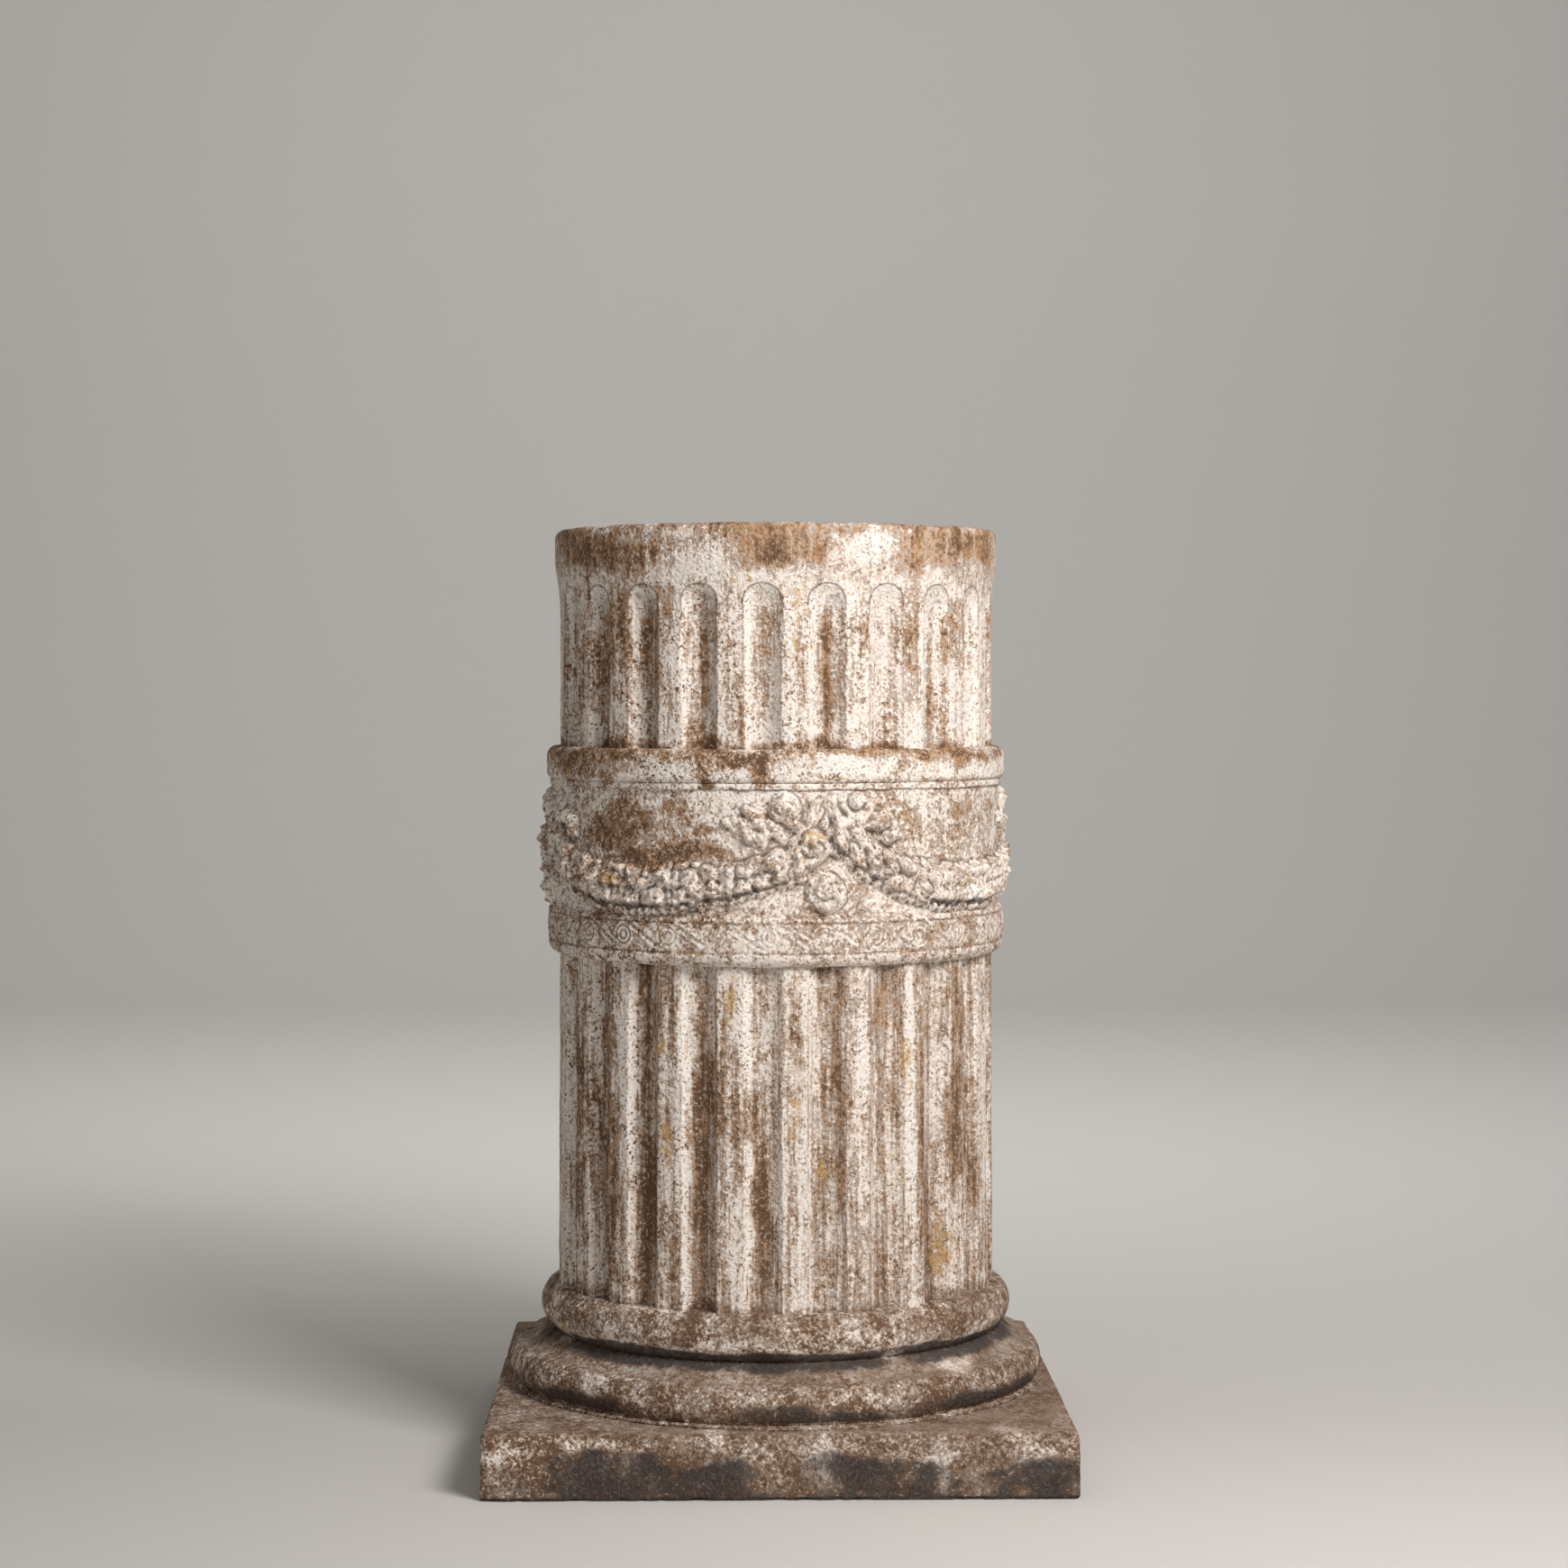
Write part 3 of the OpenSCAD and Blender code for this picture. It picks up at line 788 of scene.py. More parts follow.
def flute_wash_and_shading(signed, fluted, angles, height, sizes, seed):
    """The wash's bias round the flutes, partly painted light and shade: whiter on the wall that
    faces the key lamp at the front right, barer down the middle and on the other wall, which is
    turned from the lamp, and different from flute to flute."""
    pitch = TURN / sizes.flute_count
    strip = np.round((angles - sizes.flute_turn) / pitch * 2) * WALL_NOISE_STEP
    shape = (len(height), len(angles))
    place = np.stack([np.broadcast_to(strip, shape), np.zeros(shape),
                      np.broadcast_to(height[:, None], shape)], -1)
    share = 0.65 + 0.55 * noise(place, 0.11, seed + 1)
    # Painted light and shade: more wash on the wall that faces the lamp, less on the wall turned
    # away; the barer middle is the flutes' own colour.
    across = 0.36 * ridge(signed, -0.72, 0.20) - 0.34 * ridge(signed, 0.05, 0.34) \
        - 0.24 * ridge(signed, 0.75, 0.20)
    return fluted * (share * across + 0.26 * noise(place, 0.16, seed))


# The soot along the foot of each side of the plinth: (middle, half width) from the side's middle
CRUSTS = [(-0.148, 0.052), (-0.062, 0.042), (0.062, 0.032), (0.216, 0.042), (0.130, 0.028)]


def square(half, columns):
    """Points once round a square: the side that each is on, its place along that side from -1
    to 1, and the point."""
    share = (np.arange(columns) + 0.5) / columns * 4
    side, along = np.floor(share), (share % 1) * 2 - 1
    ahead = side * math.pi / 2 - math.pi / 2
    flat = half * np.stack([np.cos(ahead) - along * np.sin(ahead),
                            np.sin(ahead) + along * np.cos(ahead)], -1)
    return side, along, flat


def rounded(flat, half, width, corner):
    """The square drawn in to another half width, with round corners: its points lie one corner
    radius out from an inner square."""
    inner = np.clip(flat * width / half, corner - width, width - corner)
    away = flat * width / half - inner
    return inner + corner * away / np.linalg.norm(away, axis=-1, keepdims=True)


def plinth_rows(flat, turn, half, top):
    """Squares from the middle of the underside, up the side and in over the top to a circle
    that the lower roll covers, with the number of them that lie underneath."""
    edge, corner, foot_edge, spread, circle_r = 0.0065, 0.005, 0.0015, 0.0004, 0.222
    outline = resampled([
        [(half - foot_edge - 0.002, 0.0)],
        arc((half - foot_edge, foot_edge), foot_edge, -90, 0, 6),
        [(half - spread, top - edge)],
        arc((half - edge - spread, top - edge), edge, 0, 90, 12),
    ], SPACING["plinth"])

    def level(points, height):
        return np.column_stack([points, np.full(len(points), height)])

    first, last = (rounded(flat, half, outline[i, 0], corner) for i in (0, -1))
    circle = circle_r * np.stack([np.cos(turn), np.sin(turn)], -1)
    under = [level(first * k, 0.0) for k in (0.3, 0.6, 0.8, 0.94, 0.985)]
    side = [level(rounded(flat, half, width, corner), height) for width, height in outline]
    over = [level(circle * (1 - k) + last * k, top) for k in np.linspace(1, 0, 22)[1:]]
    return np.array(under + side + over), len(under)


class COLUMN_OT_plinth(Operator):
    """Makes the square plinth: rounded squares stacked from its underside to its top."""

    bl_idname = "column.plinth"
    bl_label = "Plinth"

    def execute(self, context):
        top, half = context.scene.column_sizes.plinth_height, PLINTH_WIDTH / 2
        side, along, flat = square(half, COLUMNS["plinth"])
        turn = np.arctan2(flat[:, 1], flat[:, 0])
        grid, underneath = plinth_rows(flat, turn, half, top)
        seen = np.where(np.arange(len(grid)) < underneath, 0.0, 1.0)[:, None]
        upper = step(grid[..., 2], top - 0.002, top)
        wear = (seen * (1 - 0.65 * upper))[..., None]
        worn = weathered(grid, 100, bite=0.0030, pit=0.0008, fine=0.0005)
        worn = grid + (worn - grid) * wear - [0, 0, TOP_WEAR] * upper[..., None]
        across = np.where(side % 2 == 0, 1, -1) * along * half
        crusts = sum(np.exp(-np.abs((across - middle) / reach) ** 3) for middle, reach in CRUSTS)
        low = 1 - step(grid[..., 2] + 0.012 * noise(grid, 0.04, 111), 0.028, 0.044)
        # Painted contact shadow: the soot value rises along the plinth's bottom edge, where it
        # meets the floor.
        painted_contact_shadow = 1 - step(grid[..., 2], 0.0012, 0.0035)
        soot = -0.50 + low * (0.46 + 0.36 * crusts[None, :]) + 0.8 * painted_contact_shadow
        values = finish_values(worn, turn, bias=-0.12 * (1 - upper) + 0.03 * upper,
                               soot=soot * (1 - upper) - upper, calm=0.85 * upper)
        make_piece("column_plinth", worn, values, limewash("clay_plinth"))
        return {"FINISHED"}


def base_outline(sizes, z):
    """The thin lip on the plinth, the lower roll, the sloping ledge and the upper roll, with the
    height and the radius of the line where the lower roll meets the plinth."""
    lower_swell, upper_swell, ledge_step, lip = 0.009, 0.013, 0.005, 0.0125
    lower = roll(sizes.lower_roll_radius, z["lower_roll"], sizes.lower_roll_height, lower_swell)
    upper = roll(sizes.upper_roll_radius, z["upper_roll"], sizes.upper_roll_height, upper_swell)
    foot, bed = z["lower_roll"], lower[0, 0]
    slope = np.linspace(0, 1, 16)
    ledge = np.stack([lower[-1, 0] + (upper[0, 0] + ledge_step - lower[-1, 0]) * slope,
                      lower[-1, 1] + sizes.ledge_height * slope**1.7], -1)
    outline = resampled([
        [(bed - 0.008, foot - 0.004), (bed + lip, foot - 0.001), (bed + lip, foot + 0.0015),
         (bed + 0.002, foot + 0.003)],
        lower[3:], ledge[1:], upper[1:],
        [(upper[-1, 0] - 0.012, upper[-1, 1] + 0.0005)],
    ], SPACING["base"])
    return outline, foot, bed


class COLUMN_OT_base(Operator):
    """Makes the two rolls with the ledge between them, as one outline turned round the axis."""

    bl_idname = "column.base"
    bl_label = "Base mouldings"

    def execute(self, context):
        sizes = context.scene.column_sizes
        z = heights(sizes)
        outline, foot, bed = base_outline(sizes, z)
        angles = even_angles(COLUMNS["base"])
        grid = turned(outline, angles)
        out = outward(angles)
        lip_loss = 0.008 * (0.5 + 0.5 * layered_noise(out * 0.24, 0.05, 3, 211))
        lip_rows = step(-np.abs(outline[:, 1] - foot), -0.0045, -0.0005)
        lip_rows = lip_rows * (outline[:, 0] > bed + 0.003)
        grid = grid - (lip_rows[:, None] * lip_loss)[..., None] * out
        worn = weathered(grid, 200, bite=0.0020, pit=0.0007, fine=0.0004)
        height, ring = grid[..., 2], grid * [1, 1, 0]
        drift = 0.003 * layered_noise(ring, 0.06, 2, 221)
        ledge_share = between(height, z["ledge"] - 0.002, z["ledge"] + 0.001,
                              z["upper_roll"] - 0.002, z["upper_roll"] + 0.001)
        patchy = step(layered_noise(ring, 0.08, 2, 222), -0.45, 0.25)
        # Soot and painted shade on the undersides of the lower and the upper roll; under the upper
        # roll it spills down onto the ledge.
        under_lower = between(height, foot + 0.003, foot + 0.005, foot + 0.010 - 2 * drift,
                              foot + 0.020 + 0.008 * patchy - 2 * drift)
        under_upper = between(height, z["upper_roll"] - 0.014, z["upper_roll"] - 0.002,
                              z["upper_roll"] + 0.007 - drift, z["upper_roll"] + 0.014 - drift)
        soot = -0.75 + (0.60 + 0.50 * patchy) * under_lower + (0.95 + 0.35 * patchy) * under_upper
        values = finish_values(worn, angles, bias=0.02 * ledge_share, soot=soot,
                               calm=0.80 * ledge_share)
        make_piece("column_base", worn, values, limewash("clay_base"))
        return {"FINISHED"}


class COLUMN_OT_lower_shaft(Operator):
    """Makes the lower fluted shaft: a slightly tapered cylinder with the flutes cut in."""

    bl_idname = "column.lower_shaft"
    bl_label = "Lower shaft"

    def execute(self, context):
        sizes = context.scene.column_sizes
        z = heights(sizes)
        sunk = 0.006
        outline = resampled([[(sizes.foot_radius, z["lower_shaft"] - sunk),
                              (sizes.drum_radius, z["scroll_ring"] + sunk)]],
                            SPACING["lower_shaft"])
        angles = flute_angles(sizes, COLUMNS["lower_shaft"])
        grid = turned(outline, angles)
        cut, flute, signed = flute_cut(angles, outline[:, 1], sizes, None, 300)
        grid = grid - cut[..., None] * outward(angles)
        worn = weathered(grid, 310, bite=0.0012, pit=0.0, fine=0.00022)
        bias = flute_wash_and_shading(signed, 1.0, angles, outline[:, 1], sizes, 320)
        values = finish_values(worn, angles, bias=bias, flute=flute)
        make_piece("column_lower_shaft", worn, values, limewash("clay_lower_shaft", streaks=1.0))
        return {"FINISHED"}


def scrollwork(angles, height, sizes, garlands, foot):
    """Height of the running scroll, from 0 to 1: round every eye lie two raised rings with a
    bead inside, and a band with two raised edges swings as a sine from over one eye to under
    the next."""
    pitch = TURN / garlands.scroll_count
    reach = pitch * sizes.scroll_ring_radius
    phase = (angles[None, :] - garlands.scroll_turn) / pitch
    y = height[:, None] - foot - sizes.scroll_ring_height * 0.60
    from_eye = (phase - np.round(phase)) * reach
    swing, half = 0.0100, 0.0036
    eye_radii, line_half, bead_half = (0.0098, 0.0058), 0.0011, 0.0024
    u = phase - np.floor(phase) - 0.5
    slope = swing * math.pi / reach * np.cos(math.pi * u)
    q = np.abs(y + swing * np.sin(math.pi * u)) / np.sqrt(1 + slope**2) / half
    band = ridge(q, 0.8, 0.30) * step(np.abs(u), 0.47, 0.40)
    d = np.hypot(from_eye, y)
    rings = sum(ridge(d, radius, line_half) for radius in eye_radii)
    bead = ridge(d, 0.0, bead_half)
    return np.maximum(band * step(d, 0.0085, 0.0100), np.maximum(rings, bead))


class COLUMN_OT_scroll_ring(Operator):
    """Makes the ring under the frieze with its interlaced band in low relief."""

    bl_idname = "column.scroll_ring"
    bl_label = "Scroll ring"

    def execute(self, context):
        sizes = context.scene.column_sizes
        garlands = context.scene.column_garlands
        z = heights(sizes)
        foot, top, out_r = z["scroll_ring"], z["frieze"], sizes.scroll_ring_radius
        low_edge, top_edge = 0.011, 0.005
        outline = resampled([
            [(out_r - 0.019, foot + 0.0005)],
            arc((out_r - low_edge, foot + low_edge), low_edge, -90, 0, 16),
            arc((out_r - top_edge, top - top_edge), top_edge, 0, 78, 10),
            [(sizes.frieze_radius - 0.006, top + 0.001)],
        ], SPACING["scroll_ring"])
        angles = even_angles(COLUMNS["scroll_ring"])
        grid = turned(outline, angles)
        band = scrollwork(angles, outline[:, 1], sizes, garlands, foot)
        worn_off = 0.40 + 0.60 * step(layered_noise(grid, 0.035, 3, 401), -0.35, 0.15)
        height = outline[:, 1, None]
        face = between(height, foot + 0.010, foot + 0.013, top - 0.006, top - 0.004)
        lines = ridge(height, foot + 0.0120, 0.0010) + ridge(height, top - 0.0055, 0.0010)
        raised = band * worn_off * face
        lift = garlands.scroll_relief * (raised - 0.6 * face) - 0.0010 * lines
        grid = grid + lift[..., None] * normals(grid)
        worn = weathered(grid, 410, bite=0.0020, pit=0.0004, fine=0.00025)
        bias = 0.45 * (raised - 0.25 * face) - 0.25 * lines
        # Painted shadow: a dark line along the ring's foot, under its overhang.
        soot = -1.0 + 1.1 * ridge(height, foot, 0.0016)
        values = finish_values(worn, angles, bias=bias, soot=soot, calm=0.30 * face)
        make_piece("column_scroll_ring", worn, values, limewash("clay_scroll_ring"))
        return {"FINISHED"}


def rose(x, y, radius, height):
    """A worn rose: a dome whose petals overlap in a whorl. With a the direction and d the
    distance from the middle in the rose's own radius, the surface climbs with the fraction
    part of a/pi + 1.7 d and drops at its end, and a small bud stands in the middle."""
    d = np.hypot(x, y) / radius
    whorl = np.arctan2(y, x) / math.pi + 1.7 * d
    petals = step((whorl % 1.0) * step(1 - whorl % 1.0, 0.0, 0.14), 0.0, 1.0)
    bud = ridge(d, 0.0, 0.20)
    shape = 0.60 + 0.45 * petals * step(d, 0.12, 0.30) + 0.30 * bud
    return height * np.clip(1 - d**2, 0, 1) ** 0.42 * shape


def ribbon(x, y, path, half, height):
    """A ribbon laid along a path of points, wide at its middle and narrow at its ends: the
    height falls as (1 - q*q) to the power 0.8, with q the distance from the path in half
    widths."""
    best = np.zeros(x.shape)
    count = len(path) - 1
    for i in range(count):
        (ax, ay), (bx, by) = path[i], path[i + 1]
        dx, dy = bx - ax, by - ay
        t = np.clip(((x - ax) * dx + (y - ay) * dy) / (dx * dx + dy * dy), 0, 1)
        width = half * (0.55 + 0.45 * np.sin(math.pi * np.clip((i + t) / count, 0.05, 0.95)))
        q = np.hypot(x - ax - t * dx, y - ay - t * dy) / width
        best = np.maximum(best, np.clip(1 - q**2, 0, 1) ** 0.8)
    return height * best


def bend(start, middle, end, count=9):
    """Points of the curve (1-t)^2 start + 2t(1-t) middle + t^2 end."""
    t = np.linspace(0, 1, count)[:, None]
    start, middle, end = (np.array(p) * MM for p in (start, middle, end))
    return (1 - t) ** 2 * start + 2 * t * (1 - t) * middle + t**2 * end


def curl(middle, outer, inner, start, sweep, count=16):
    """Points of a spiral whose radius falls evenly from outer to inner."""
    t = np.linspace(0, 1, count)
    a = np.radians(start + sweep * t)
    r = (outer + (inner - outer) * t) * MM
    return np.stack([middle[0] * MM + r * np.cos(a), middle[1] * MM + r * np.sin(a)], -1)


# The bow over each knot: (path, half width, height), in millimetres from the knot's middle and
# the foot of the frieze
BOW = [
    (bend((-24, 82), (-15, 76), (-8, 70)), 6.0, 6.5),
    (bend((-8, 74), (0, 84), (-3, 99)), 7.5, 4.5),
    (bend((6, 76), (13, 84), (15, 100)), 7.0, 4.5),
    (curl((38, 93), 12, 7, 175, 240), 4.5, 6.0),
    (bend((12, 72), (34, 90), (56, 78)), 8.5, 9.0),
    (bend((52, 84), (66, 82), (74, 68)), 7.5, 8.5),
    (bend((-76, 79), (-62, 76), (-46, 64)), 9.0, 7.0),
    (bend((-58, 90), (-50, 84), (-42, 70)), 8.0, 7.0),
    (bend((-42, 80), (-34, 74), (-28, 64)), 7.0, 5.0),
    (bend((26, 5), (31, 15), (41, 22)), 4.0, 4.0),
    (bend((34, 3), (40, 8), (48, 14)), 3.5, 3.4),
    (bend((-10, 8), (-16, 12), (-24, 10)), 4.0, 3.4),
]

# Domes and roses of each knot: (across, up, radius, height), in millimetres
BLOOMS = [
    (-26, 92.5, 14, 10.5), (37, 98, 7, 7.5), (66, 71, 9, 10.0), (-6.6, 58, 17, 13.5),
    (6.6, 18.8, 18, 13.0), (-33, 44, 12, 12.0), (-20, 36, 8, 11.0), (18, 56, 7, 10.0),
]


def knot_relief(x, y):
    """The knot: the highest of its roses and of its bow's ribbons, which are broken up into
    leafy lumps."""
    relief = np.zeros(x.shape)
    for path, half, height in BOW:
        relief = np.maximum(relief, ribbon(x, y, path, half * MM, height * MM))
    relief = relief * (0.58 + 0.62 * domes(x, y, 0.0105, 551))
    lumps = 0.82 + 0.26 * domes(x, y, 0.0100, 561)
    for across, up, radius, height in BLOOMS:
        bloom = rose(x - across * MM, y - up * MM, radius * MM, height * MM)
        relief = np.maximum(relief, bloom * lumps)
    return relief


def swag_relief(angles, height, sizes, garlands):
    """The garlands: t runs from -1 at a garland's left end to 1 at its right end, and its
    middle line climbs as |t|^2.7 to the left and t^2 to the right. The body is half an ellipse
    across, with two sizes of fruit on it and a row of berries along its lower edge. Returned
    with it are the body alone and the distance under the middle line in half widths."""
    pitch = TURN / garlands.count
    turn = (angles - garlands.knot_turn) / pitch
    which = np.floor(turn)
    t = (2 * (turn - which) - 1)[None, :]
    big_pitch, small_pitch = 0.0150, 0.0078
    berry_pitch, berry_r, berry_out = 0.0084, 0.0045, 0.0058
    rise = np.where(t < 0, garlands.left_rise * np.abs(t) ** 2.7, garlands.right_rise * t**2)
    reach = pitch / 2 * sizes.frieze_radius
    slope = np.where(t < 0, -2.7 * garlands.left_rise * np.abs(t) ** 1.7,
                     2 * garlands.right_rise * t) / reach
    half = garlands.middle_width / 2 + (garlands.end_width - garlands.middle_width) / 2 * t**2
    across = (height[:, None] - garlands.low_height - rise) / np.sqrt(1 + slope**2)
    along = np.broadcast_to(t * reach + (which * 0.61)[None, :], across.shape)
    big = domes(along, across, big_pitch, 501)
    small = domes(along, across, small_pitch, 511)
    ragged = half + 0.0030 * (small - 0.5) + 0.0020 * (big - 0.5)
    body = np.sqrt(np.clip(1 - (across / ragged) ** 2, 0, 1))
    row = along + 0.0016 * noise(np.stack([along, across, 0 * along], -1), 0.012, 515)
    drop = 0.0015 * noise(np.stack([along, 0 * along, 0 * along], -1), 0.009, 516)
    berry = np.hypot((row / berry_pitch - np.round(row / berry_pitch)) * berry_pitch,
                     across + half - 0.001 + drop) / berry_r
    berries = (berry_out + 1.2 * drop) * np.sqrt(np.clip(1 - berry**2, 0, 1))
    ends = step(1 - np.abs(t), 0.02, 0.10)
    fruit = garlands.fruit_relief * (0.66 * big + 0.40 * small) * step(body, 0.02, 0.40)
    relief = np.maximum(garlands.relief * body**0.7 + fruit, berries)
    return relief * ends, body * ends, -across / half


class COLUMN_OT_frieze(Operator):
    """Makes the frieze with its garlands, knots, bows and roses in relief."""

    bl_idname = "column.frieze"
    bl_label = "Frieze and garlands"

    def execute(self, context):
        sizes = context.scene.column_sizes
        garlands = context.scene.column_garlands
        z = heights(sizes)
        sunk = 0.004
        outline = resampled([[(sizes.frieze_radius, z["frieze"] - sunk),
                              (sizes.frieze_radius, z["fillet"] + sunk)]], SPACING["frieze"])
        angles = even_angles(COLUMNS["frieze"])
        grid = turned(outline, angles)
        height = outline[:, 1] - z["frieze"]
        pitch = TURN / garlands.count
        knot = garlands.knot_turn + np.round((angles - garlands.knot_turn) / pitch) * pitch
        x = np.broadcast_to(wrapped(angles - knot) * sizes.frieze_radius,
                            (len(height), len(angles)))
        y = np.broadcast_to(height[:, None], x.shape)
        bent = [0.0042 * layered_noise(grid, 0.018, 3, seed) for seed in (541, 542)]
        swag, leafy, under = swag_relief(angles, height, sizes, garlands)
        relief = np.maximum(swag, knot_relief(x + bent[0], y + bent[1]))
        crumbs = 1 + 0.14 * layered_noise(grid, 0.02, 2, 520) \
            + 0.34 * layered_noise(grid, 0.0072, 2, 521)
        grid = grid + softened(relief * crumbs, 1)[..., None] * outward(angles)
        worn = weathered(grid, 530, bite=0.0006, pit=0.0004, fine=0.00035)
        carved = step(relief, 0.0005, 0.004)
        # Painted shadow along the lower edge of each garland: less wash and more of the dark crust
        # there.
        lower = between(under, 0.20, 0.85, 1.15, 1.35) * step(leafy, 0.0, 0.1)
        values = finish_values(worn, angles, bias=0.12 * carved - 0.12 * lower,
                               soot=-1.0 + 1.15 * lower, calm=0.20)
        # The frieze's hollows take extra dirt and painted shade.
        make_piece("column_frieze", worn, values, limewash("clay_frieze", streaks=0.25),
                   hollow_darkness=1.15)
        return {"FINISHED"}


class COLUMN_OT_cap_ring(Operator):
    """Makes the thin fillet and the plain ring over the frieze."""

    bl_idname = "column.cap_ring"
    bl_label = "Cap ring"

    def execute(self, context):
        sizes = context.scene.column_sizes
        z = heights(sizes)
        ring_foot, top = z["cap_ring"], z["drum"]
        low_edge, top_edge = 0.004, 0.0085
        ring_r = sizes.cap_ring_radius
        outline = resampled([
            [(sizes.frieze_radius - 0.006, z["fillet"]), (sizes.fillet_radius, z["fillet"]),
             (sizes.fillet_radius, ring_foot - 0.0005), (sizes.fillet_radius - 0.0018, ring_foot)],
            arc((ring_r - low_edge, ring_foot + low_edge), low_edge, -70, 0, 8),
            arc((ring_r - top_edge, top - top_edge), top_edge, 0, 88, 12),
            [(sizes.drum_radius - 0.012, top - 0.0003)],
        ], SPACING["cap_ring"])
        angles = even_angles(COLUMNS["cap_ring"])
        grid = turned(outline, angles)
        worn = weathered(grid, 600, bite=0.0018, pit=0.0004)
        # Painted shadow: dark lines under the fillet and, fainter, at the foot of the ring.
        crease_shadows = ridge(outline[:, 1, None], z["fillet"], 0.0011) \
            + 0.68 * ridge(outline[:, 1, None], ring_foot, 0.0011)
        make_piece("column_cap_ring", worn,
                   finish_values(worn, angles, soot=-1.0 + 1.15 * crease_shadows),
                   limewash("clay_cap_ring"))
        return {"FINISHED"}


class COLUMN_OT_upper_shaft(Operator):
    """Makes the upper drum with its round-headed flutes, its flared rim and its flat top."""

    bl_idname = "column.upper_shaft"
    bl_label = "Upper drum"

    def execute(self, context):
        sizes = context.scene.column_sizes
        z = heights(sizes)
        top, edge, sunk, hub = z["top"], 0.006, 0.004, 0.006
        rim_foot = top - sizes.rim_height
        t = np.linspace(0, 1, 14)
        flare = np.stack([sizes.drum_radius + (sizes.rim_radius - sizes.drum_radius) * t**2,
                          rim_foot - sizes.flare_height * (1 - t)], -1)
        side = resampled([
            [(sizes.drum_radius, z["drum"] - sunk)], flare,
            arc((sizes.rim_radius - edge, top - edge), edge, 0, 90, 10),
        ], SPACING["upper_shaft"])
        plate = np.linspace(side[-1, 0], hub, 30)[1:]
        outline = np.concatenate([side, np.stack([plate, np.full(len(plate), top)], -1)])
        angles = flute_angles(sizes, COLUMNS["upper_shaft"])
        grid = turned(outline, angles)
        head = top - sizes.head_drop
        cut, flute, signed = flute_cut(angles, outline[:, 1], sizes, head, 700)
        on_side = (np.arange(len(outline)) < len(side))[:, None]
        grid = grid - (cut * on_side)[..., None] * outward(angles)
        worn = weathered(grid, 710, bite=0.0012, pit=0.0, fine=0.00022)
        flat = np.where(on_side, 1.0, 0.0)[..., None]
        level = grid - [0, 0, TOP_WEAR]
        worn = worn * flat + (level + (worn - grid) * [0, 0, 0.5]) * (1 - flat)
        fluted = 1 - step(grid[..., 2], head - 0.016, head - 0.004)
        bias = flute_wash_and_shading(signed, fluted, angles, outline[:, 1], sizes, 720)
        arched = step(grid[..., 2], head - 0.030, head - 0.012) * on_side
        # Painted highlight: the bowls under the arched heads get more wash, so they read pale
        # where they would lie in shade.
        bowl_highlight = arched * (1 - step(flute, 0.80, 0.98))
        values = finish_values(worn, angles, bias=(bias + 0.30 * bowl_highlight) * on_side,
                               flute=flute * on_side, calm=0.4 * (1 - fluted), head=arched)
        make_piece("column_upper_shaft", worn, values, limewash("clay_upper_shaft", streaks=0.8))
        return {"FINISHED"}


# ---------------------------------------------------------------- the stage

# The lamps leave the floor far in front of the column dark, which shows in views from behind.
# So it glows by itself, the more the further it lies in this direction, between two distances.
GLOW_DIRECTION = (0.65, -1.0, 0.0)
GLOW_FROM, GLOW_TO = 1.9, 3.3


def plain_material(name, colour_value, glow):
    """A plain matt colour that glows a little on the far floor, so that the floor stays pale
    when it is seen from behind."""
    paint = Paint(name)
    shader = paint.shader
    shader.inputs["Base Color"].default_value = (*colour_value, 1.0)
    shader.inputs["Roughness"].default_value = 0.9
    shader.inputs["Specular IOR Level"].default_value = 0.1
    shader.inputs["Emission Color"].default_value = (*colour_value, 1.0)
    ahead = paint.tree.nodes.new("ShaderNodeVectorMath")
    ahead.operation = "DOT_PRODUCT"
    ahead.inputs[1].default_value = GLOW_DIRECTION
    paint.wire(paint.upright, ahead.inputs[0])
    share = paint.step(ahead.outputs["Value"], GLOW_FROM, GLOW_TO)
    paint.wire(paint.maths("MULTIPLY", share, glow), shader.inputs["Emission Strength"])
    return paint.material


def curved_floor(material):
    """A floor 18 m wide that curves up into a backdrop, as one sheet."""
    outline = np.concatenate([
        [(-14.0, 0.0)], arc((4.0, 2.0), 2.0, -90, 0, 24), [(6.0, 7.0)],
    ])
    across = np.array([-9.0, 9.0])
    shape = (len(outline), len(across))
    grid = np.stack([np.broadcast_to(across[None, :], shape),
                     np.broadcast_to(outline[:, 0, None], shape),
                     np.broadcast_to(outline[:, 1, None], shape)], -1)
    index = np.arange(grid[..., 0].size).reshape(shape)
    faces = np.stack([index[:-1, 0], index[:-1, 1], index[1:, 1], index[1:, 0]], -1)
    mesh = bpy.data.meshes.new("floor")
    mesh.from_pydata(grid.reshape(-1, 3), [], faces.tolist())
    mesh.shade_smooth()
    mesh.materials.append(material)
    floor = bpy.data.objects.new("floor", mesh)
    bpy.context.scene.collection.objects.link(floor)
    return floor


def area_lamp(name, place, aim, size, power, tint):
    """A large square lamp at a place, turned to face a point."""
    lamp = bpy.data.lights.new(name, "AREA")
    lamp.shape = "SQUARE"
    lamp.size = size
    lamp.energy = power
    lamp.color = tint
    made = bpy.data.objects.new(name, lamp)
    made.location = place
    made.rotation_euler = (Vector(aim) - Vector(place)).to_track_quat("-Z", "Y").to_euler()
    bpy.context.scene.collection.objects.link(made)


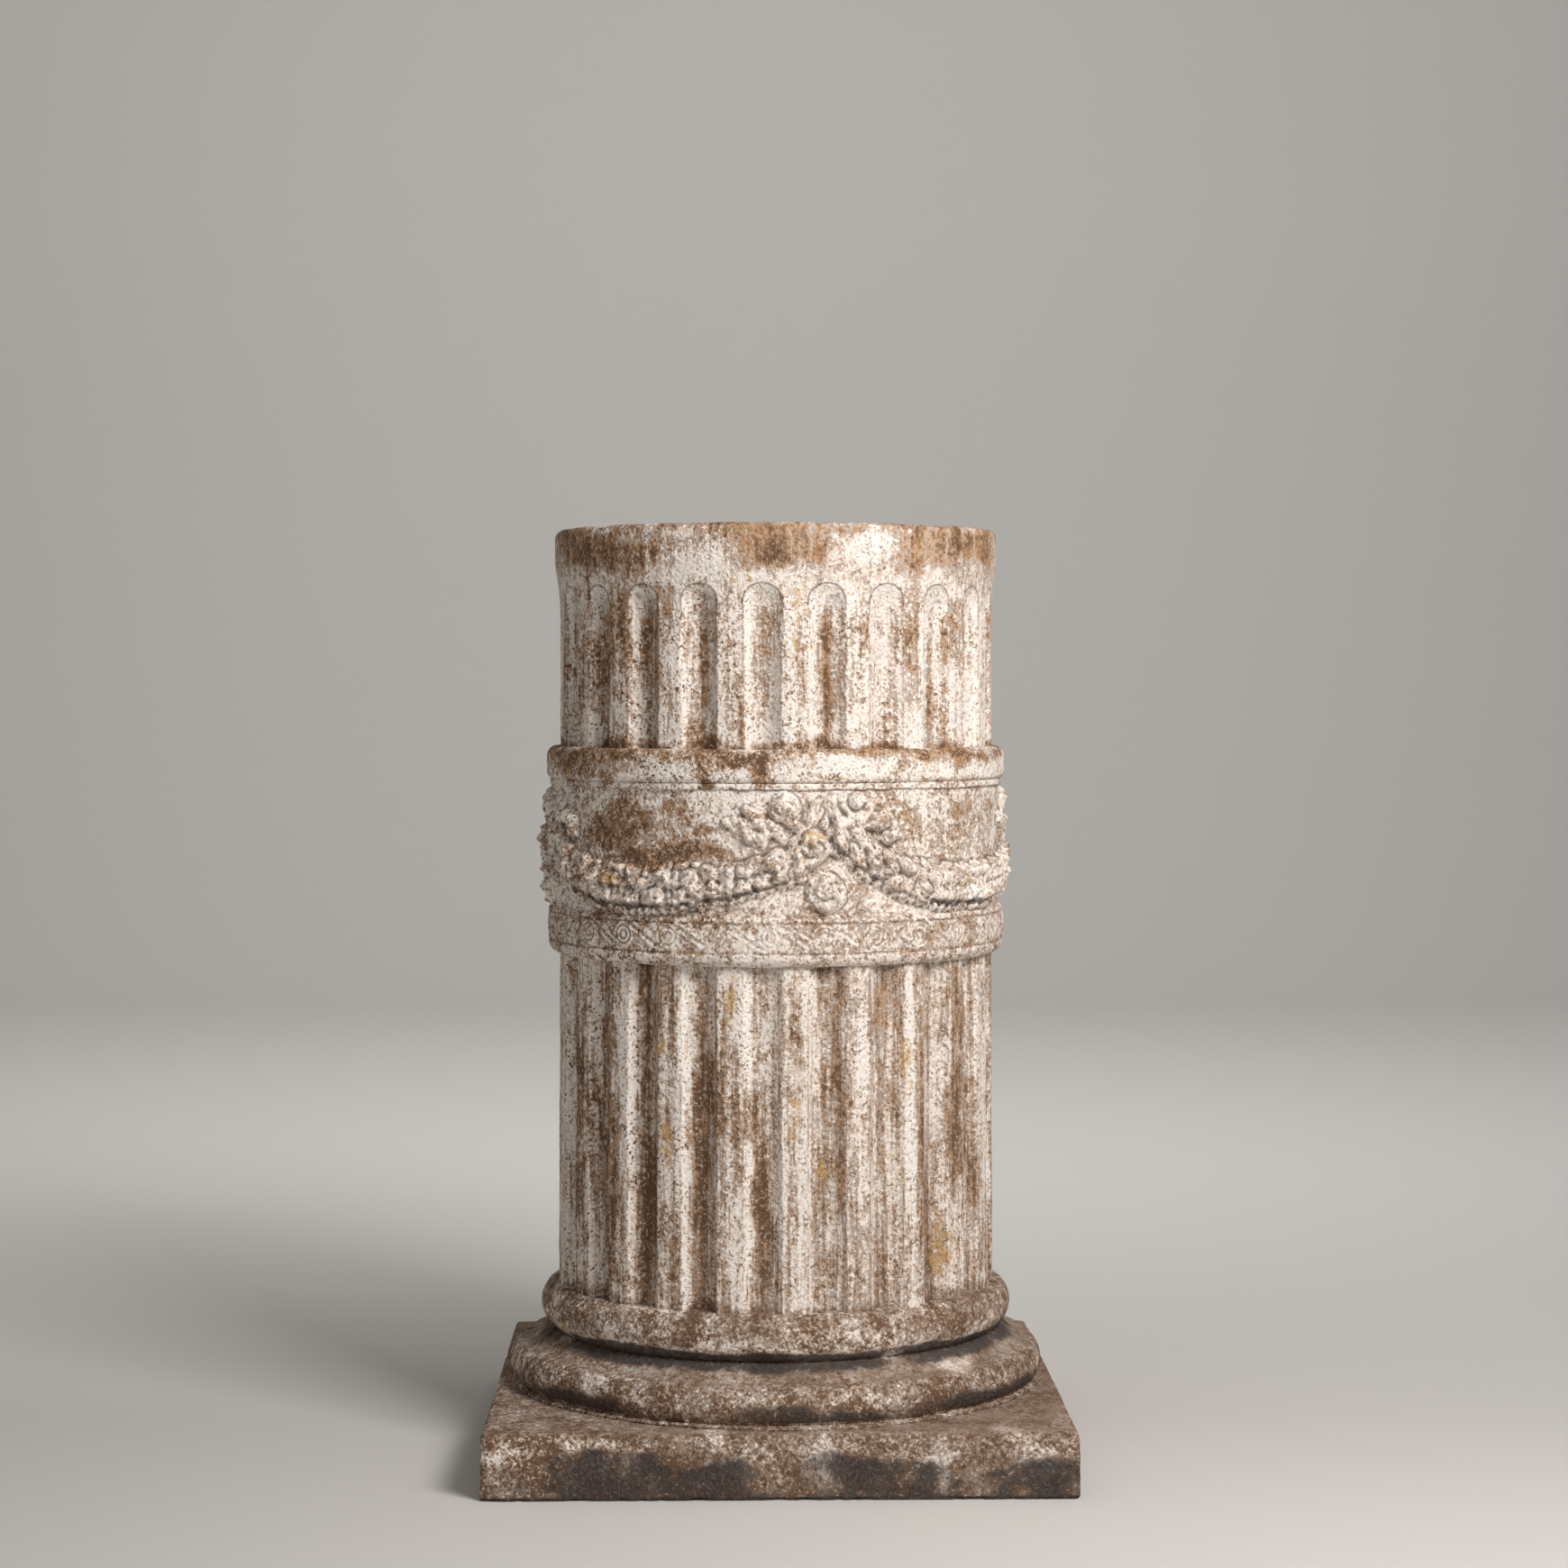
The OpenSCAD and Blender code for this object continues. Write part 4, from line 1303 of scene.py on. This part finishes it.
def level_camera(settings):
    """A level camera; the column stands low and a little aside in its frame, by the lens's
    shift and a slight turn."""
    shift, swing = -0.065, math.radians(-0.147)
    lens = bpy.data.cameras.new("camera")
    lens.sensor_width = 36.0
    lens.lens = settings.focal_length
    lens.clip_end = 100.0
    lens.shift_y = shift
    camera = bpy.data.objects.new("camera", lens)
    turn = settings.azimuth
    camera.location = (math.sin(turn) * settings.camera_distance,
                       -math.cos(turn) * settings.camera_distance, settings.eye_height)
    camera.rotation_euler = (math.pi / 2, 0.0, turn + swing)
    bpy.context.scene.collection.objects.link(camera)
    return camera


def sky(strength):
    """Even light from all round; seen directly it is a plain pale grey."""
    world = bpy.data.worlds.new("sky")
    world.use_nodes = True
    tree = world.node_tree
    light, seen = tree.nodes["Background"], tree.nodes.new("ShaderNodeBackground")
    light.inputs["Color"].default_value = (1, 0.97, 0.94, 1)
    light.inputs["Strength"].default_value = strength
    seen.inputs["Color"].default_value = (0.53, 0.52, 0.50, 1)
    mix, path = tree.nodes.new("ShaderNodeMixShader"), tree.nodes.new("ShaderNodeLightPath")
    tree.links.new(path.outputs["Is Camera Ray"], mix.inputs[0])
    tree.links.new(light.outputs[0], mix.inputs[1])
    tree.links.new(seen.outputs[0], mix.inputs[2])
    tree.links.new(mix.outputs[0], tree.nodes["World Output"].inputs["Surface"])
    return world


class COLUMN_OT_stage(Operator):
    """Makes the floor that curves up into a backdrop, the lamps and the camera."""

    bl_idname = "column.stage"
    bl_label = "Stage"

    def execute(self, context):
        scene = context.scene
        settings = scene.column_stage
        floor = curved_floor(plain_material("plain_floor", settings.floor, settings.far_glow))
        aim, backdrop = (0.0, 0.0, 0.62), (0.0, 5.0, 1.4)
        area_lamp("key", (0.98, -1.50, 1.66), aim, 0.8, settings.key_power, (1.0, 0.98, 0.96))
        area_lamp("fill", (-2.2, -2.4, 1.4), aim, 1.8, settings.fill_power, (1.0, 0.93, 0.88))
        area_lamp("backdrop", (0.0, 1.2, 2.9), backdrop, 2.4, settings.backdrop_power,
                  (1.0, 1.0, 1.0))
        scene.world = sky(settings.sky)
        scene.camera = level_camera(settings)
        scene.view_settings.view_transform = "Standard"
        return {"FINISHED"}


# ---------------------------------------------------------------- the add-on

PIECES = (COLUMN_OT_plinth, COLUMN_OT_base, COLUMN_OT_lower_shaft, COLUMN_OT_scroll_ring,
          COLUMN_OT_frieze, COLUMN_OT_cap_ring, COLUMN_OT_upper_shaft, COLUMN_OT_stage)


class COLUMN_PT_panel(Panel):
    """Lists the column's pieces and their settings."""

    bl_idname = "COLUMN_PT_panel"
    bl_label = "Column"
    bl_space_type = "VIEW_3D"
    bl_region_type = "UI"
    bl_category = "Column"

    def draw(self, context):
        for piece in PIECES:
            self.layout.operator(piece.bl_idname)
        for group in (context.scene.column_sizes, context.scene.column_garlands,
                      context.scene.column_colours, context.scene.column_stage):
            box = self.layout.box()
            for key in group.bl_rna.properties.keys():
                if key not in ("rna_type", "name"):
                    box.prop(group, key)


GROUPS = {"column_sizes": ColumnSizes, "column_garlands": GarlandSizes,
          "column_colours": FinishColours, "column_stage": StageSettings}


def register():
    """Registers the settings, the operators and the panel."""
    for key, group in GROUPS.items():
        bpy.utils.register_class(group)
        setattr(bpy.types.Scene, key, PointerProperty(type=group))
    for kind in (*PIECES, COLUMN_PT_panel):
        bpy.utils.register_class(kind)


def unregister():
    """Takes back what register did."""
    for kind in reversed((*PIECES, COLUMN_PT_panel)):
        bpy.utils.unregister_class(kind)
    for key, group in GROUPS.items():
        delattr(bpy.types.Scene, key)
        bpy.utils.unregister_class(group)


def main():
    register()
    bpy.ops.column.plinth()
    bpy.ops.column.base()
    bpy.ops.column.lower_shaft()
    bpy.ops.column.scroll_ring()
    bpy.ops.column.frieze()
    bpy.ops.column.cap_ring()
    bpy.ops.column.upper_shaft()
    bpy.ops.column.stage()


if __name__ == "__main__":
    main()
